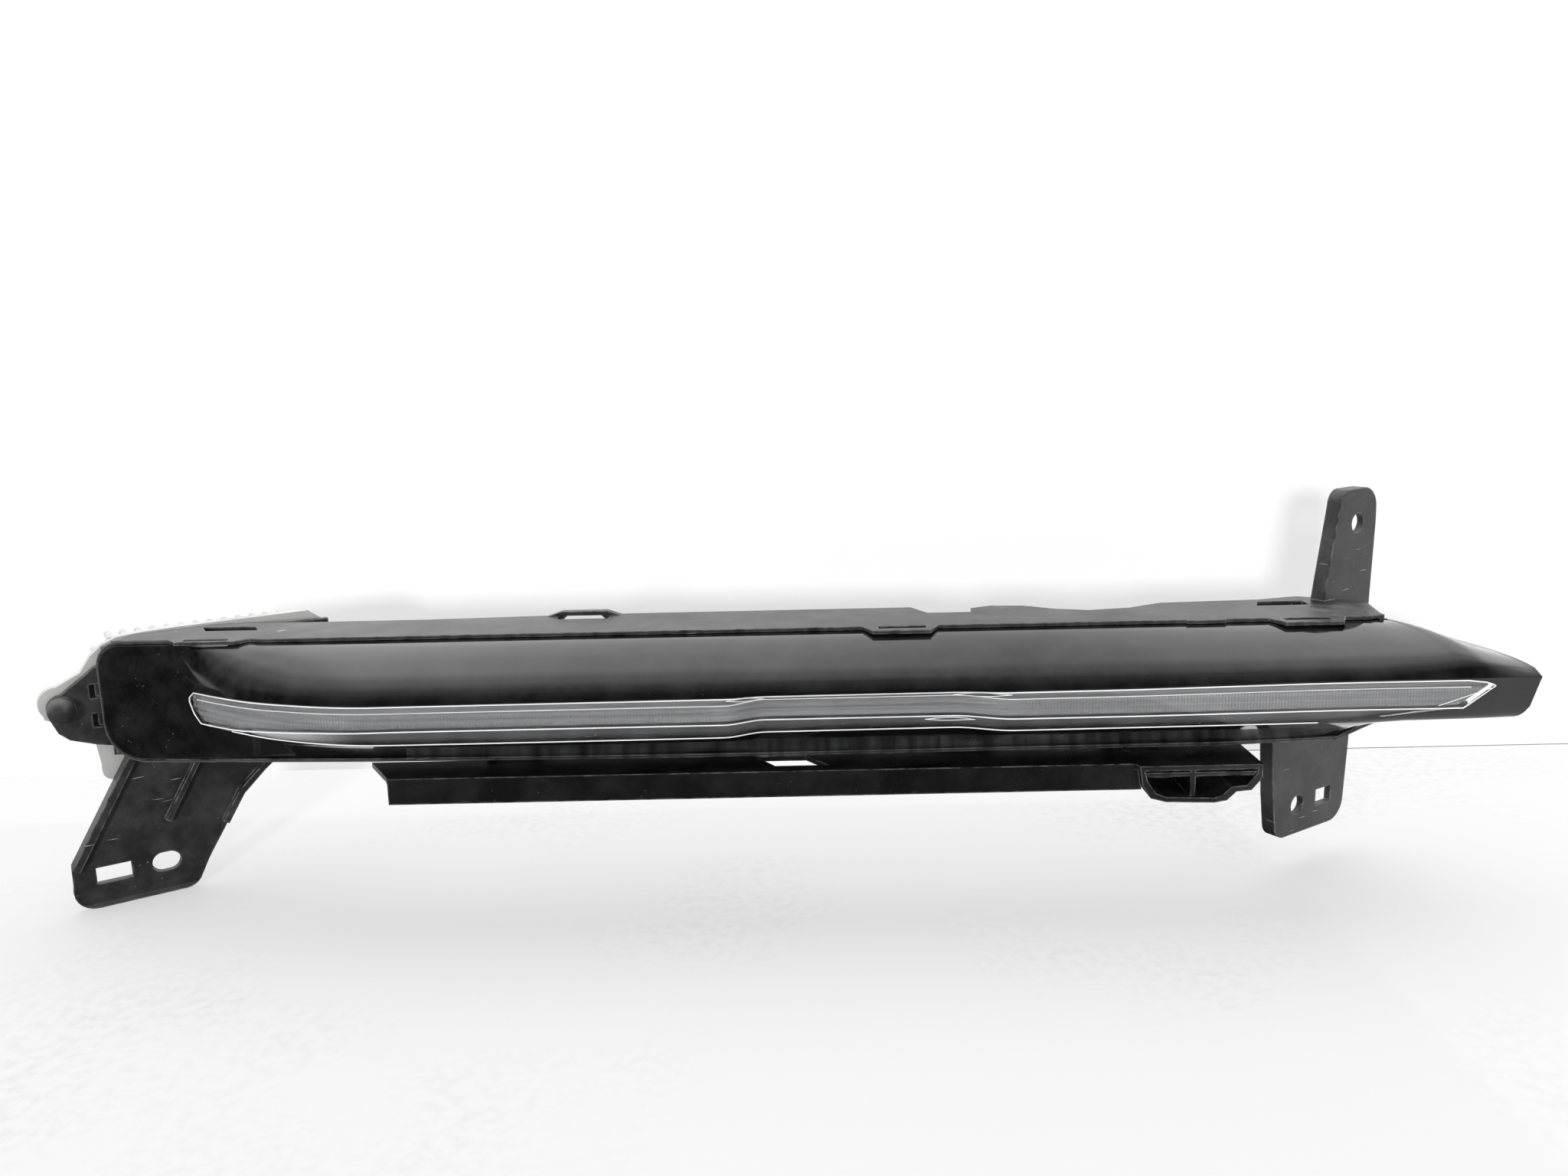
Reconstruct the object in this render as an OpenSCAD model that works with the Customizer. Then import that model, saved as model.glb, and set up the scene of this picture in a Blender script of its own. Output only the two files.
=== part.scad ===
// Daytime running light with a light strip, rear housing and finned heatsink.
// X runs along the lamp, Y to the back and Z up. The origin is the screw hole
// of the upper tab. Lengths are in millimetres.

/* [Light strip] */
// Rise of the strip's front face above the lower bright line
strip_h = 8.3; // [7:0.1:10]
// Depth of the set-back stretch in the middle of the strip
recess_d = 5; // [2:0.5:6]
// Wall of the lens shell
lens_t = 2.2; // [1.8:0.1:2.6]
// X of the strip's left point
strip_left = -200.8; // [-201.5:0.1:-199]
// X of the strip's right point
strip_tip = 224.6; // [222:0.1:226]
// Height of the light guide bar
guide_h = 6; // [5:0.2:6.4]
// Depth of the light guide bar
guide_d = 5; // [4:0.2:6]

/* [Lens] */
// X where the front line starts its turn back to the left
turn_x = -130; // [-135:1:-125]
// Y of the flat panel at the left end
panel_y = 29; // [28.5:0.1:29.4]
// X of the wing's tip at the right
wing_x = 239; // [236:0.5:241]

/* [Housing] */
// X of the housing's left side
body_l = -232; // [-233:0.5:-231]
// X of the housing's right side
body_r = 201; // [200:0.5:201.5]
// Height of the housing's top over the strip's crest
body_top = 21; // [20.5:0.1:21.5]
// Y of the housing rim's front edge
rim_y = 30; // [29.8:0.1:30.4]
// Y of the housing's back face
back_y = 46; // [45:0.5:47]
// Wall of the housing
wall = 2.5; // [2:0.1:3]
// Wall of the rim round the lens
rim_t = 1.2; // [1:0.1:1.6]

/* [Swept end] */
// Angle between the lamp's length and the fixing planes
sweep = 33; // [32:0.5:34]
// Distance of the heatsink's front face along the swept axis
sink_q = 156; // [155.5:0.1:156.5]
// Pitch of the heatsink's pins
pin_pitch = 4.75; // [4.5:0.05:5]
// Diameter of a heatsink pin
pin_d = 2.4; // [2:0.1:2.8]
// Length of a heatsink pin
pin_len = 12; // [8:0.5:16]

/* [Fixings] */
// Diameter of the screw holes in the two right tabs
tab_hole_d = 7; // [6:0.1:7.6]
// Height of the oval hole in the left bracket
oval_h = 7; // [6:0.1:8]
// Width of the oval hole in the left bracket
oval_w = 9.1; // [8:0.1:10]
// Thickness of the tab plates
tab_t = 2.5; // [2:0.1:3]
// Depth of the edge round the two right tabs
tab_edge = 5.2; // [4:0.1:7]
// Diameter of the thread of every small screw
screw_d = 3; // [2.5:0.1:3.5]
// Clearance between a small screw and its hole
screw_gap = 0.2; // [0.1:0.05:0.3]

/* [Lower rail] */
// X of the rail's left corner at the fold
rail_l = -132.5; // [-134:0.5:-131]
// Height of the rail's front web
rail_h = 9; // [7:0.5:10]
// Y of the rail's front web
rail_y = 15; // [14:0.5:16]
// Wall of the rail
rail_t = 1.8; // [1.5:0.1:2.2]

/* [Electronics] */
// Length of the driver board
board_l = 74; // [60:1:80]
// Height of the driver board
board_h = 26; // [22:1:28]
// Thickness of both circuit boards
board_t = 1.6; // [1.2:0.1:2]

/* [Hidden] */
$fn = 48;
eps = 0.01;

skirt_y = rim_y + 4;            // rear edge of the lens skirt
bead_t = 1.6;                   // thickness of the seal bead
ledge_y = skirt_y + bead_t;     // ledge the bead lies on
ledge_t = 1.8;
fit = 0.2;                      // gap between skirt and rim
in_y = back_y - wall;           // inner face of the back wall
edge_t = 2.2;                   // thickness of that edge
crest_z = 5.1;                  // strip's top edge at mid length
tip_z = 3.7;

// point where the upper tab's screw hole sits, in the swept frame
tab_q = -59.4;
tab_hole = [206.1, 47.4];
low_q = -63.5;
low_hole = [174.2, -50.2];
bracket_q = 150.5;
oval_c = [-164.4, -60.5];
datum = [tab_hole[0] * cos(sweep) - tab_q * sin(sweep),
         tab_hole[0] * sin(sweep) + tab_q * cos(sweep), tab_hole[1]];

// screws that hold the heatsink, in the swept frame: along, height
sink_screws = [[-190, -0.8], [-106.5, 11], [-106.5, -11]];
// light source: centre along the swept face, and height
led_c = [-153.6, -0.6];
led_board_w = 26;
led_board_h = 20;
led_face_q = sink_q - 8;        // front face of the light source board
lug = [-176.5, -25.4];          // foot of the heatsink below the rim

// Shared shapes

module placed() translate(-datum) children();

module swept() rotate([0, 0, sweep]) children();

// plate in the swept plane from q0 back to q1, drawn as along, height
module swept_plate(q0, q1)
    swept() translate([0, q1, 0]) rotate([90, 0, 0])
        linear_extrude(q1 - q0) children();

// rod along the swept axis from q0 back to q1
module swept_rod(at, d, q0, q1)
    swept() translate([at[0], q1, at[1]]) rotate([90, 0, 0])
        cylinder(d = d, h = q1 - q0);

// plate facing the front from y0 back to y1, drawn as X, Z
module front_plate(y0, y1)
    translate([0, y1, 0]) rotate([90, 0, 0])
        linear_extrude(y1 - y0) children();

// rod along Y from y0 back to y1, centred at X, Z
module y_rod(at, d, y0, y1)
    translate([at[0], y1, at[1]]) rotate([90, 0, 0])
        cylinder(d = d, h = y1 - y0);

module box(x, y, z)
    translate([x[0], y[0], z[0]])
        cube([x[1] - x[0], y[1] - y[0], z[1] - z[0]]);

// Line of the lamp

function clamp01(v) = max(0, min(1, v));
function ease(a, b, x) =
    let (t = clamp01((x - a) / (b - a))) t * t * (3 - 2 * t);

// Y of the front line: turned back at the left, crowned at the right
function line_y(x) =
    min(panel_y, 26 * pow(max(0, (turn_x - x) / 70), 1.8)
        + 3 * pow(max(0, (x - 110) / 129), 2));
// how far the middle stretch is set back
function recess(x) = ease(-20, -7, x) * (1 - ease(53, 72, x));
function strip_y(x) = min(panel_y, line_y(x) + recess_d * recess(x));
function strip_top(x) =
    lookup(x, [[-230, 2], [-206, 2.6], [-198, 4.3], [-176, 4.3],
               [-155, 4.7], [-35, crest_z], [99, 5.5], [171, 6.1],
               [239, 5.6]]) - 0.8 * recess(x);
function hood_low(x) = strip_top(x) + 0.35 + 1.7 * recess(x);
function bright_z(x) =
    lookup(x, [[-230, -1.5], [-206, -2.5], [-197, -6.2], [-182, -6.1],
               [-166, -5.1], [-147, -4], [-122, crest_z - strip_h - 0.3],
               [99, -3.3], [171, -3], [239, -3.6]]);
function under_z(x) =
    lookup(x, [[-230, -4], [-206, -5.5], [-197, -6.9], [-184, -7.2],
               [-166, -7.8], [-122, -8.3], [171, -7.4], [239, -7.6]]);
// underside of the housing
function base_z(x) =
    lookup(x, [[-218, -21.8], [-140, -23.2], [-30, -24], [150, -23.6],
               [189, -22.4], [204, -21.6]]);

// Lens shell, cut later into hood and strip

skirt_top = body_top - rim_t - fit;
skirt_l = body_l + rim_t + fit;
corner_t = 9 - rim_t - fit;
corner_b = 14 - rim_t - fit;
wing_start = body_r - 2;

function round_in(x, r) =
    let (d = clamp01((x - skirt_l) / r) * r) r - sqrt(r * r - (r - d) * (r - d));
function shell_top(x) =
    skirt_top - round_in(x, corner_t) - 2 * ease(190, wing_x, x)
    + lookup(x - wing_x, [[-40, 0], [-26, 0.5], [-18, 1.1], [-12, 0],
                          [-6, -1.7], [0, -3.2]]);
function shell_low(x) = lookup(x, [[-231, base_z(-218) + 2],
    [183, base_z(183) + 2], [wing_start, -14.2], [215, -12.5],
    [wing_x, -9.5]])
    + (x < 183 ? base_z(x) - lookup(x, [[-231, base_z(-218)],
    [183, base_z(183)]]) : 0) + round_in(x, corner_b);
// rear edge of each section: X, Y and the lower edge's Y
function rear_x(x) = x <= wing_start ? x :
    lookup(x, [[wing_start, wing_start], [206, 201.4], [214, 202],
               [226, 203.4], [wing_x, 206]]);
function rear_y(x) = lookup(x, [[215, panel_y], [221, 31], [wing_x, 50]]);
function low_y(x) = lookup(x, [[wing_start, panel_y], [wing_x, 14]]);
function skirt_end(x, y) = x <= wing_start ? skirt_y : y + 0.5;
function bulge(x) = clamp01((rear_y(x) - line_y(x)) / 10);
function roundness(x) = 0.75 - 0.25 * ease(185, wing_x, x);

hood_steps = 7;
// one point of a section, its X sheared so that the wing ends in the sweep
function at(x, y, z) =
    [x + (rear_x(x) - x) * (y - line_y(x)) / max(1, rear_y(x) - line_y(x))
       - 0.45 * ease(221, wing_x, x) * max(0, 3.4 - z), y, z];
function outer(x) = let (yr = rear_y(x), yl = line_y(x), zt = shell_top(x),
                         zh = hood_low(x), e = roundness(x)) concat(
    [at(x, skirt_end(x, yr), zt)],
    [for (i = [0 : hood_steps])
        let (u = i / hood_steps)
        at(x, yr - (yr - yl) * u, zh + (zt - zh) * pow(1 - u * u, e))],
    [at(x, strip_y(x) + 0.15, strip_top(x)),
     at(x, strip_y(x), bright_z(x)),
     at(x, min(panel_y, strip_y(x) + 1), under_z(x)),
     at(x, low_y(x), shell_low(x)),
     at(x, skirt_end(x, low_y(x)), shell_low(x))]);
function inner(x) = let (t = lens_t, b = bulge(x), yr = rear_y(x),
                         yl = line_y(x), zt = shell_top(x) - t,
                         zh = hood_low(x) + 0.25 * (strip_y(x) - yl),
                         e = roundness(x)) concat(
    [at(x, skirt_end(x, yr), zt)],
    [for (i = [0 : hood_steps])
        let (u = i / hood_steps)
        at(x, yr - (yr - yl) * u + t * (1 - b + b * pow(u, 1.5)),
           zh + (zt - zh) * pow(1 - u * u, e))],
    [at(x, strip_y(x) + t + 0.15, strip_top(x)),
     at(x, strip_y(x) + t, bright_z(x)),
     at(x, min(panel_y, strip_y(x) + 1) + t, under_z(x) + 0.5),
     at(x, low_y(x) + t * (1 - b), shell_low(x) + t),
     at(x, skirt_end(x, low_y(x)), shell_low(x) + t)]);

stations = concat(
    [for (d = [0, 0.6, 2.2, 4.6, 7, 12]) skirt_l + d],
    [-211, -206, -202, -199, -195, -190, -184, -177, -169, -160, -150,
     -140, turn_x, -105, -75, -45, -20],
    [for (i = [1 : 4]) -20 + 13 * i / 4],
    [10, 32, 53],
    [for (i = [1 : 4]) 53 + 19 * i / 4],
    [95, 120, 145, 170, 183, wing_start, wing_start + 0.3],
    [206, 214, 221, 227, 233, wing_x]);

// closed skin over a row of sections of equal point count
module loft(sections) {
    n = len(sections);
    m = len(sections[0]);
    polyhedron(
        points = [for (s = sections) for (p = s) p],
        faces = concat(
            [for (i = [0 : n - 2]) for (j = [0 : m - 1])
                let (k = (j + 1) % m, a = i * m, b = (i + 1) * m)
                [a + j, b + j, b + k]],
            [for (i = [0 : n - 2]) for (j = [0 : m - 1])
                let (k = (j + 1) % m, a = i * m, b = (i + 1) * m)
                [a + j, b + k, a + k]],
            [for (j = [0 : m / 2 - 2])
                [j, j + 1, m - 2 - j, m - 1 - j]],
            [for (j = [0 : m / 2 - 2])
                let (b = (n - 1) * m)
                [b + m - 1 - j, b + m - 2 - j, b + j + 1, b + j]]));
}

function reversed(v) = [for (i = [len(v) - 1 : -1 : 0]) v[i]];

module lens_shell()
    loft([for (x = stations) concat(outer(x), reversed(inner(x)))]);

// front view of the clear strip, grown by g
module strip_outline(g = 0) polygon(concat(
    [[strip_left - g, 1.4]],
    [for (x = [-198, -187, -176, -155, -35, -20, -15, -10, -6, 52, 58, 64,
               72, 99, 171, 216]) [x, strip_top(x) + g]],
    [[strip_tip + g, tip_z], [215, bright_z(215) - g]],
    [for (x = [171, -122, -147, -166, -184]) [x, under_z(x) - g]],
    [[-196.3, -6.9 - g]]));

module strip_block(g = 0) front_plate(-6, panel_y + 6) strip_outline(g);

// Lens

module lens_hood() color([0.05, 0.05, 0.055]) placed() {
    difference() {
        lens_shell();
        strip_block(0.03);
    }
    lens_left_wall();
    lens_wing_wall();
}

// left side of the skirt, with the two hooks in the rim's windows
module lens_left_wall() {
    box([skirt_l - 0.02, skirt_l + lens_t], [panel_y + 0.5, skirt_y],
        [-8, 12]);
    for (z = [3.8, -6.3])
        box([skirt_l - 1.4, skirt_l + 1], [rim_y - 0.3, rim_y + 1.6],
            [z - 1.6, z + 1.6]);
}

// wall that closes the lens under the wing
module lens_wing_wall()
    box([wing_start - lens_t, wing_start], [panel_y + 0.4, skirt_y],
        [shell_low(wing_start) + 0.5, shell_top(wing_start) - 0.5]);

module lens_strip() color([0.86, 0.88, 0.9, 0.5]) placed()
    intersection() {
        lens_shell();
        strip_block(-0.03);
    }

// Light guide and its carrier

guide_gap = 0.8;
guide_xs = [-194, -189, -183, -177, -169, -160, -150, -140, -130, -100, -60,
            -20, -16, -12, -7, 20, 53, 59, 66, 72, 110, 150, 185, 217];
function guide_mid(x) = strip_y(x) + lens_t + guide_gap + guide_d / 2;
function guide_z(x) = (strip_top(x) + bright_z(x)) / 2 - 0.1;
// unit vector along the guide at station i
function run(i) = let (
    a = guide_xs[max(0, i - 1)],
    b = guide_xs[min(len(guide_xs) - 1, i + 1)],
    v = [b - a, guide_mid(b) - guide_mid(a)]) v / norm(v);
// section of a bar along the guide: pts hold offsets back and up
function bar_section(i, pts) = let (
    x = guide_xs[i], c = [x, guide_mid(x)],
    n = x < -135 ? [-run(i)[1], run(i)[0]] : [0, 1])
    [for (p = pts) let (f = c + n * p[0]) [f[0], f[1], guide_z(x) + p[1]]];
// the bar's root runs back along the sweep to the light source
function root_section(q, pts) = [for (p = pts)
    let (a = led_c[0] + p[0]) [a * cos(sweep) - q * sin(sweep),
                               a * sin(sweep) + q * cos(sweep),
                               led_c[1] + p[1]]];

module light_guide() color([0.9, 0.92, 0.95, 0.6]) placed() {
    y = guide_d / 2;
    z = guide_h / 2;
    pts = [[-y, -z], [y, -z], [y, z], [-y, z]];
    loft(concat([for (q = [led_face_q - 1.8, 141])
                    root_section(q, pts)],
                [for (i = [0 : len(guide_xs) - 1]) bar_section(i, pts)]));
}

carrier_gap = 0.25;
carrier_t = 1.4;
carrier_first = 5;              // the channel starts at this station
post_xs = [-112, -34, 90, 168];
post_d = 7;
// channel behind the light guide, and its feet
module guide_carrier() color([0.75, 0.76, 0.78]) placed() {
    y0 = -guide_d / 2 + 0.8;
    y1 = guide_d / 2 + carrier_gap;
    z1 = guide_h / 2 + carrier_gap;
    t = carrier_t;
    pts = [[y0, z1], [y1, z1], [y1, -z1], [y0, -z1],
           [y0, -z1 - t], [y1 + t, -z1 - t], [y1 + t, z1 + t],
           [y0, z1 + t]];
    loft([for (i = [carrier_first : len(guide_xs) - 1])
        bar_section(i, pts)]);
    for (x = post_xs) carrier_foot(x);
}

// foot that stands on a post of the housing
function foot_z(x) = guide_z(x) + guide_h / 2 + 6;
function foot_y(x) = strip_y(x) + 14.5;
module carrier_foot(x) difference() {
    union() {
        y_rod([x, foot_z(x)], post_d, foot_y(x), foot_y(x) + 2);
        box([x - 2.5, x + 2.5], [foot_y(x) - 5.4, foot_y(x) + 2],
            [guide_z(x) + guide_h / 2 + 0.6, foot_z(x) - 3.1]);
    }
    y_rod([x, foot_z(x)], screw_d + screw_gap * 2, foot_y(x) - 1,
          foot_y(x) + 3);
}

// pan head screw along Y, head at the front
module y_screw(at, y, length) {
    y_rod(at, screw_d, y, y + length);
    difference() {
        y_rod(at, screw_d * 1.9, y - 1.8, y);
        y_rod(at, screw_d * 0.55, y - 1.9, y - 0.8);
    }
}
module carrier_screws() color([0.6, 0.6, 0.62]) placed()
    for (x = post_xs) y_screw([x, foot_z(x)], foot_y(x), 9);

// Housing

// points of an arc, from angle a0 to a1
function arc(c, r, a0, a1, n = 6) = [for (i = [0 : n])
    let (a = a0 + (a1 - a0) * i / n) c + r * [cos(a), sin(a)]];

// front view of the housing, drawn in by g
module body_outline(g = 0) {
    l = body_l + g;
    r = body_r - g;
    t = body_top - g;
    rt = 9 - g;
    rb = 14 - g;
    low = base_z(-218) + g;
    polygon(concat(
        arc([l + rt, t - rt], rt, 180, 90), [[r, t], [r, -16.4 + g]],
        [for (x = [188, 150, -30, -140]) [x, base_z(x) + g]],
        arc([l + rb, low + rb], rb, 270, 180)));
}

// plan of the top plate, as the rear edge of the lamp
top_plan = [[-226, rim_y], [-180, rim_y], [-176, 28.5], [196, 28.5],
    [200.5, 31], [204.5, 50], [190, 60.6], [185, 63], [169, 58.7],
    [134, 56.7], [121, 49.6], [106, 47], [95, 50.3], [85, 56.7],
    [74, 58], [66, 54.3], [65.5, 48], [50, 48], [45, 57.8], [-58, 57.5],
    [-60, 54.5], [-62, 54.5], [-62, 50], [-80, 50], [-80, 54.5],
    [-82, 54.5], [-84, 56.6], [-126, 54], [-204, 54], [-207, 53],
    [-213, 44], [-221, 35]];

// clip loops over the lens: X and Y of the outer corners, then the slot
loops = [[[-207, -179], 26.2, [-201, -186], [27.4, 31]],
         [[25, 52], 21.8, [31, 47], [25, 28]],
         [[161, 188], 21.8, [166, 182], [25, 28]]];

// plan of the space in front of the heatsink's seat
module plan_ahead() rotate(sweep) translate([-400, -200])
    square([800, sink_q + 199]);

module top_plate() difference() {
    union() {
        translate([0, 0, body_top - wall]) linear_extrude(wall)
            intersection() {
                polygon(top_plan);
                translate([-300, back_y - 4]) square([600, 60]);
                plan_ahead();
            }
        translate([0, 0, body_top - rim_t]) linear_extrude(rim_t)
            intersection() {
                polygon(top_plan);
                plan_ahead();
            }
        for (l = loops) loop_plate(l);
        front_plate(54.3, 57.5) polygon([[-86, body_top - wall],
            [-84, body_top], [-79, body_top + 1.7], [-63, body_top + 1.7],
            [-58, body_top], [-56, body_top - wall], [-62, body_top - wall],
            [-65, body_top + 0.2], [-77, body_top + 0.2],
            [-80, body_top - wall]]);
        box([134, 147], [27.2, 29], [body_top - rim_t, body_top]);
    }
    for (l = loops)
        box(l[2], l[3], [body_top - 6, body_top + 2]);
    translate([0, 0, body_top - 4]) linear_extrude(8)
        polygon([[165, 48.4], [184, 48.4], [184, 55], [168, 55]]);
}
module loop_plate(l)
    translate([0, 0, body_top - rim_t]) linear_extrude(rim_t)
        polygon([[l[0][0], 30], [l[0][0] + 4, l[1]], [l[0][1] - 4, l[1]],
                 [l[0][1], 30]]);

// blind pocket in the top at the left, and the walls round it
pocket_plan = [[-203.5, 48.6], [-185, 48.6], [-182, 42.6], [-200, 42.6]];
pocket_z = 13.5;
module pocket_walls()
    box([-206, -179], [40.4, 51], [pocket_z - 2, body_top - 1]);
module pocket_cut() translate([0, 0, pocket_z]) linear_extrude(10)
    polygon(pocket_plan);

// swept chamber that holds the light source
chamber_p = [-175, -113];
chamber_z = [-19, 16.5];
module chamber() intersection() {
    swept_plate(112, sink_q - 1) translate([chamber_p[0], chamber_z[0]])
        square([chamber_p[1] - chamber_p[0], chamber_z[1] - chamber_z[0]]);
    box([-300, 100], [rim_y + 1, 120], [-60, 60]);
}
module chamber_cut() swept_plate(112, sink_q + 1)
    translate([-168.5, -15.8]) square([53, 29.6]);

// seat of the heatsink round the chamber
module sink_seat() swept_plate(sink_q - 3.5, sink_q - 1) {
    translate([-176, -19.5]) square([74, 38]);
    polygon([[-179, 11.8], [-190.3, 3.4], [-194.2, -0.8], [-193.5, -4],
             [-191.5, -9], [-188.5, -11.8], [-181, -14.7], [-176, -16],
             [-175, 14]]);
    translate([-189.6, -0.6]) circle(4.4);
}

// blind boss of a heatsink screw, domed at the front
module blind_boss(at, r, q0)
    swept() translate([at[0], sink_q - 1, at[1]]) rotate([90, 0, 0])
        rotate_extrude() polygon(concat([[0, 0], [r, 0]],
            arc([0, sink_q - 1 - q0], r, 0, 90), [[0, 1]]));

module left_bracket() {
    swept_plate(bracket_q, bracket_q + tab_t) difference() {
        polygon(concat([[-172.3, -16], [-172.3, -21], [-182.7, -38.1],
            [-193.3, -56.3]],
            arc([-186.6, -65.1], 7, 165, 270, 7),
            arc([-159, -66.2], 5.8, 270, 330, 4),
            [[-150.7, -62.5], [-137.1, -40.5], [-125.1, -30.7],
             [-118, -24], [-118, -16]]));
        translate([-186.2, -63.4]) square([10.9, 5.8]);
        oval();
    }
    bracket_rib([-172.3, -20], [-193.2, -56.2], 2.6, 6);
    bracket_rib([-149, -20], [-163.3, -44.7], 1.8, 2.4);
    // bent rib along the lower edge, in one piece round its corner
    swept_plate(bracket_q - 2.4, bracket_q + tab_t + 2.2)
        polygon([[-123, -27], [-137.2, -40.6], [-143.3, -50.6],
                 [-145.2, -49.5], [-138.9, -39.2], [-124.5, -25.4]]);
}
module oval() {
    w = (oval_w - oval_h) / 2;
    for (s = [-1, 1]) translate([oval_c[0] + s * w, oval_c[1]])
        circle(d = oval_h);
    translate([oval_c[0] - w, oval_c[1] - oval_h / 2])
        square([2 * w, oval_h]);
}
// rib on the bracket from a to b, t wide on its inner side, h high
module bracket_rib(a, b, t, h) {
    v = (b - a) / norm(b - a);
    n = [-v[1], v[0]] * t;
    front = h < 5 ? h : 2.4;
    swept_plate(bracket_q - front, bracket_q + tab_t + (h > 5 ? 2.2 : 0))
        polygon([a, b, b + n, a + n]);
}

// outline of the upper tab, drawn in by g
function upper_edge(g) = concat(
    [[187.6 + g, 15], [190 + g, 28.5], [194.6 + g, 52.2]],
    arc([200.2, 54.6], 5.2 - g, 170, 95, 5),
    arc([209.2, 52], 7.9 - g, 85, 0, 8),
    [[217.3 - g, 46.8], [216.5 - g, 15]]);
module upper_tab() {
    difference() {
        union() {
            swept_plate(tab_q, tab_q + tab_t) polygon(upper_edge(0));
            swept_plate(tab_q, tab_q + tab_edge) polygon(
                concat(upper_edge(0), reversed(upper_edge(edge_t))));
        }
        swept_rod(tab_hole, tab_hole_d, tab_q - 1, tab_q + 12);
    }
    // shelf that carries the tab behind the housing
    translate([0, 0, 13.4]) linear_extrude(3.2)
        polygon([[170, back_y - 2], [200, back_y - 2], [213, 66],
                 [209.5, 69], [189, 56.6]]);
    translate([0, 0, 13.4]) linear_extrude(body_top - rim_t - 13)
        polygon([[176, back_y - 2], [179, back_y - 2], [193, 55.6],
                 [189, 57]]);
}

// outline of the lower tab, drawn in by g
function lower_edge(g) = concat(
    [[157.2 + g, -14], [158.1 + g, -23.7], [160.1 + g, -43.9],
     [162 + g, -56.4]],
    arc([167.3, -55.5], 5.4 - g, 205, 270, 5),
    arc([194, -53.2], 7.8 - g, 270, 350, 7),
    [[203 - g, -31.8], [203 - g, -14]]);
module lower_tab() {
    swept_plate(low_q, low_q + tab_t) difference() {
        polygon(lower_edge(0));
        translate(low_hole) circle(d = tab_hole_d);
        translate([185, -53]) square([9, 6]);
    }
    // edge that runs back, and the web and shelf that carry the tab
    swept_plate(low_q, low_q + tab_edge) polygon(
        concat(lower_edge(0), reversed(lower_edge(edge_t))));
    swept_plate(low_q, low_q + 9)
        polygon([[180, -14], [182.4, -14], [182.4, -26], [180, -26]]);
    translate([0, 0, -22.3]) linear_extrude(3) polygon([[178, 42],
        [200, 42], [206.6, 56.8], [203.3, 58.9], [184, 46.6]]);
}

// straps under the housing that take the rail's tongues
tongue_xs = [-95, -20, 62, 120];
tongue_w = 14;
rail_top = base_z(-30) - 0.25;
module strap(x) {
    z = rail_top - rail_t - 0.3;
    for (s = [-1, 1]) translate([x + s * (tongue_w / 2 + 1.3) - 1, 36,
                                 z - 1.6])
        cube([2, 7, -z - 20.6]);
    box([x - tongue_w / 2 - 2.3, x + tongue_w / 2 + 2.3], [36, 43],
        [z - 1.6, z]);
}

driver_c = [46, -2];
driver_posts = [for (s = [-1, 1]) [driver_c[0] + s * (board_l / 2 - 5),
                                   driver_c[1] - s * (board_h / 2 - 5)]];
driver_y = 38.4;                // front face of the driver board
socket_c = [-50, -4];
vent_c = [-110, 2];
vent_hole_d = 6;

// the space in front of the heatsink's seat
module ahead_of_sink() swept() translate([-400, -200, -80])
    cube([800, sink_q + 199, 160]);

module housing() color([0.1, 0.1, 0.105]) placed() difference() {
    union() {
        difference() {
            union() {
                intersection() {
                    front_plate(rim_y, back_y) body_outline();
                    ahead_of_sink();
                }
                chamber();
                sink_seat();
                pocket_walls();
                for (i = [1, 2]) swept_rod(sink_screws[i], 8.4,
                                           sink_q - 9, sink_q - 1);
                left_bracket();
                lower_tab();
                for (x = tongue_xs) strap(x);
            }
            front_plate(rim_y - 1, ledge_y) body_outline(rim_t);
            front_plate(ledge_y - 1, ledge_y + ledge_t + eps)
                body_outline(4.8);
            front_plate(ledge_y + ledge_t, in_y) difference() {
                body_outline(wall);
                translate([-300, 11.5]) square([121, 20]);
            }
            chamber_cut();
        }
        top_plate();
        blind_boss(sink_screws[0], 4.2, sink_q - 6.4);
        upper_tab();
        for (x = post_xs) y_rod([x, foot_z(x)], post_d, foot_y(x) + 2,
                                in_y + 0.5);
        for (p = driver_posts) y_rod(p, 7, driver_y + board_t, in_y + 0.5);
        socket_collar();
        y_rod(vent_c, 13, back_y - 0.5, back_y + 3);
        pocket_skin();
    }
    for (x = post_xs) y_rod([x, foot_z(x)], screw_d, foot_y(x) - 1,
                            foot_y(x) + 10);
    for (p = driver_posts) y_rod(p, screw_d, driver_y, driver_y + 7);
    for (s = sink_screws) swept_rod(s, screw_d, sink_q - 8, sink_q + 1);
    pocket_cut();
    front_plate(in_y - 1, back_y + 9) translate(socket_c - [12.2, 7.2])
        square([24.4, 14.4]);
    y_rod(vent_c, vent_hole_d, in_y - 1, back_y + 4);
    // windows of the rim's two clips
    for (z = [3.8, -6.3])
        box([body_l - 3, skirt_l - 0.1], [rim_y - 1, rim_y + 2.2],
            [z - 2.4, z + 2.4]);
    gasket_groove();
}

// lowered roof between the ledge and the back wall at the left
module pocket_skin() difference() {
    pocket_walls();
    translate([0, 0, pocket_z]) linear_extrude(10) polygon(pocket_plan);
}

// collar of the socket's opening in the back wall
module socket_collar() front_plate(back_y - 0.5, back_y + 3)
    translate(socket_c - [14.2, 9.2]) square([28.4, 18.4]);

module gasket_groove() swept_plate(sink_q - 2, sink_q - 0.9)
    gasket_outline(0.15);
module gasket_outline(g = 0) difference() {
    translate([-171.5 - g, -17.8 - g])
        square([60 + 2 * g, 34.2 + 2 * g]);
    translate([-169.9 + g, -16.2 + g])
        square([56.8 - 2 * g, 31 - 2 * g]);
}

// Lower rail

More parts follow.
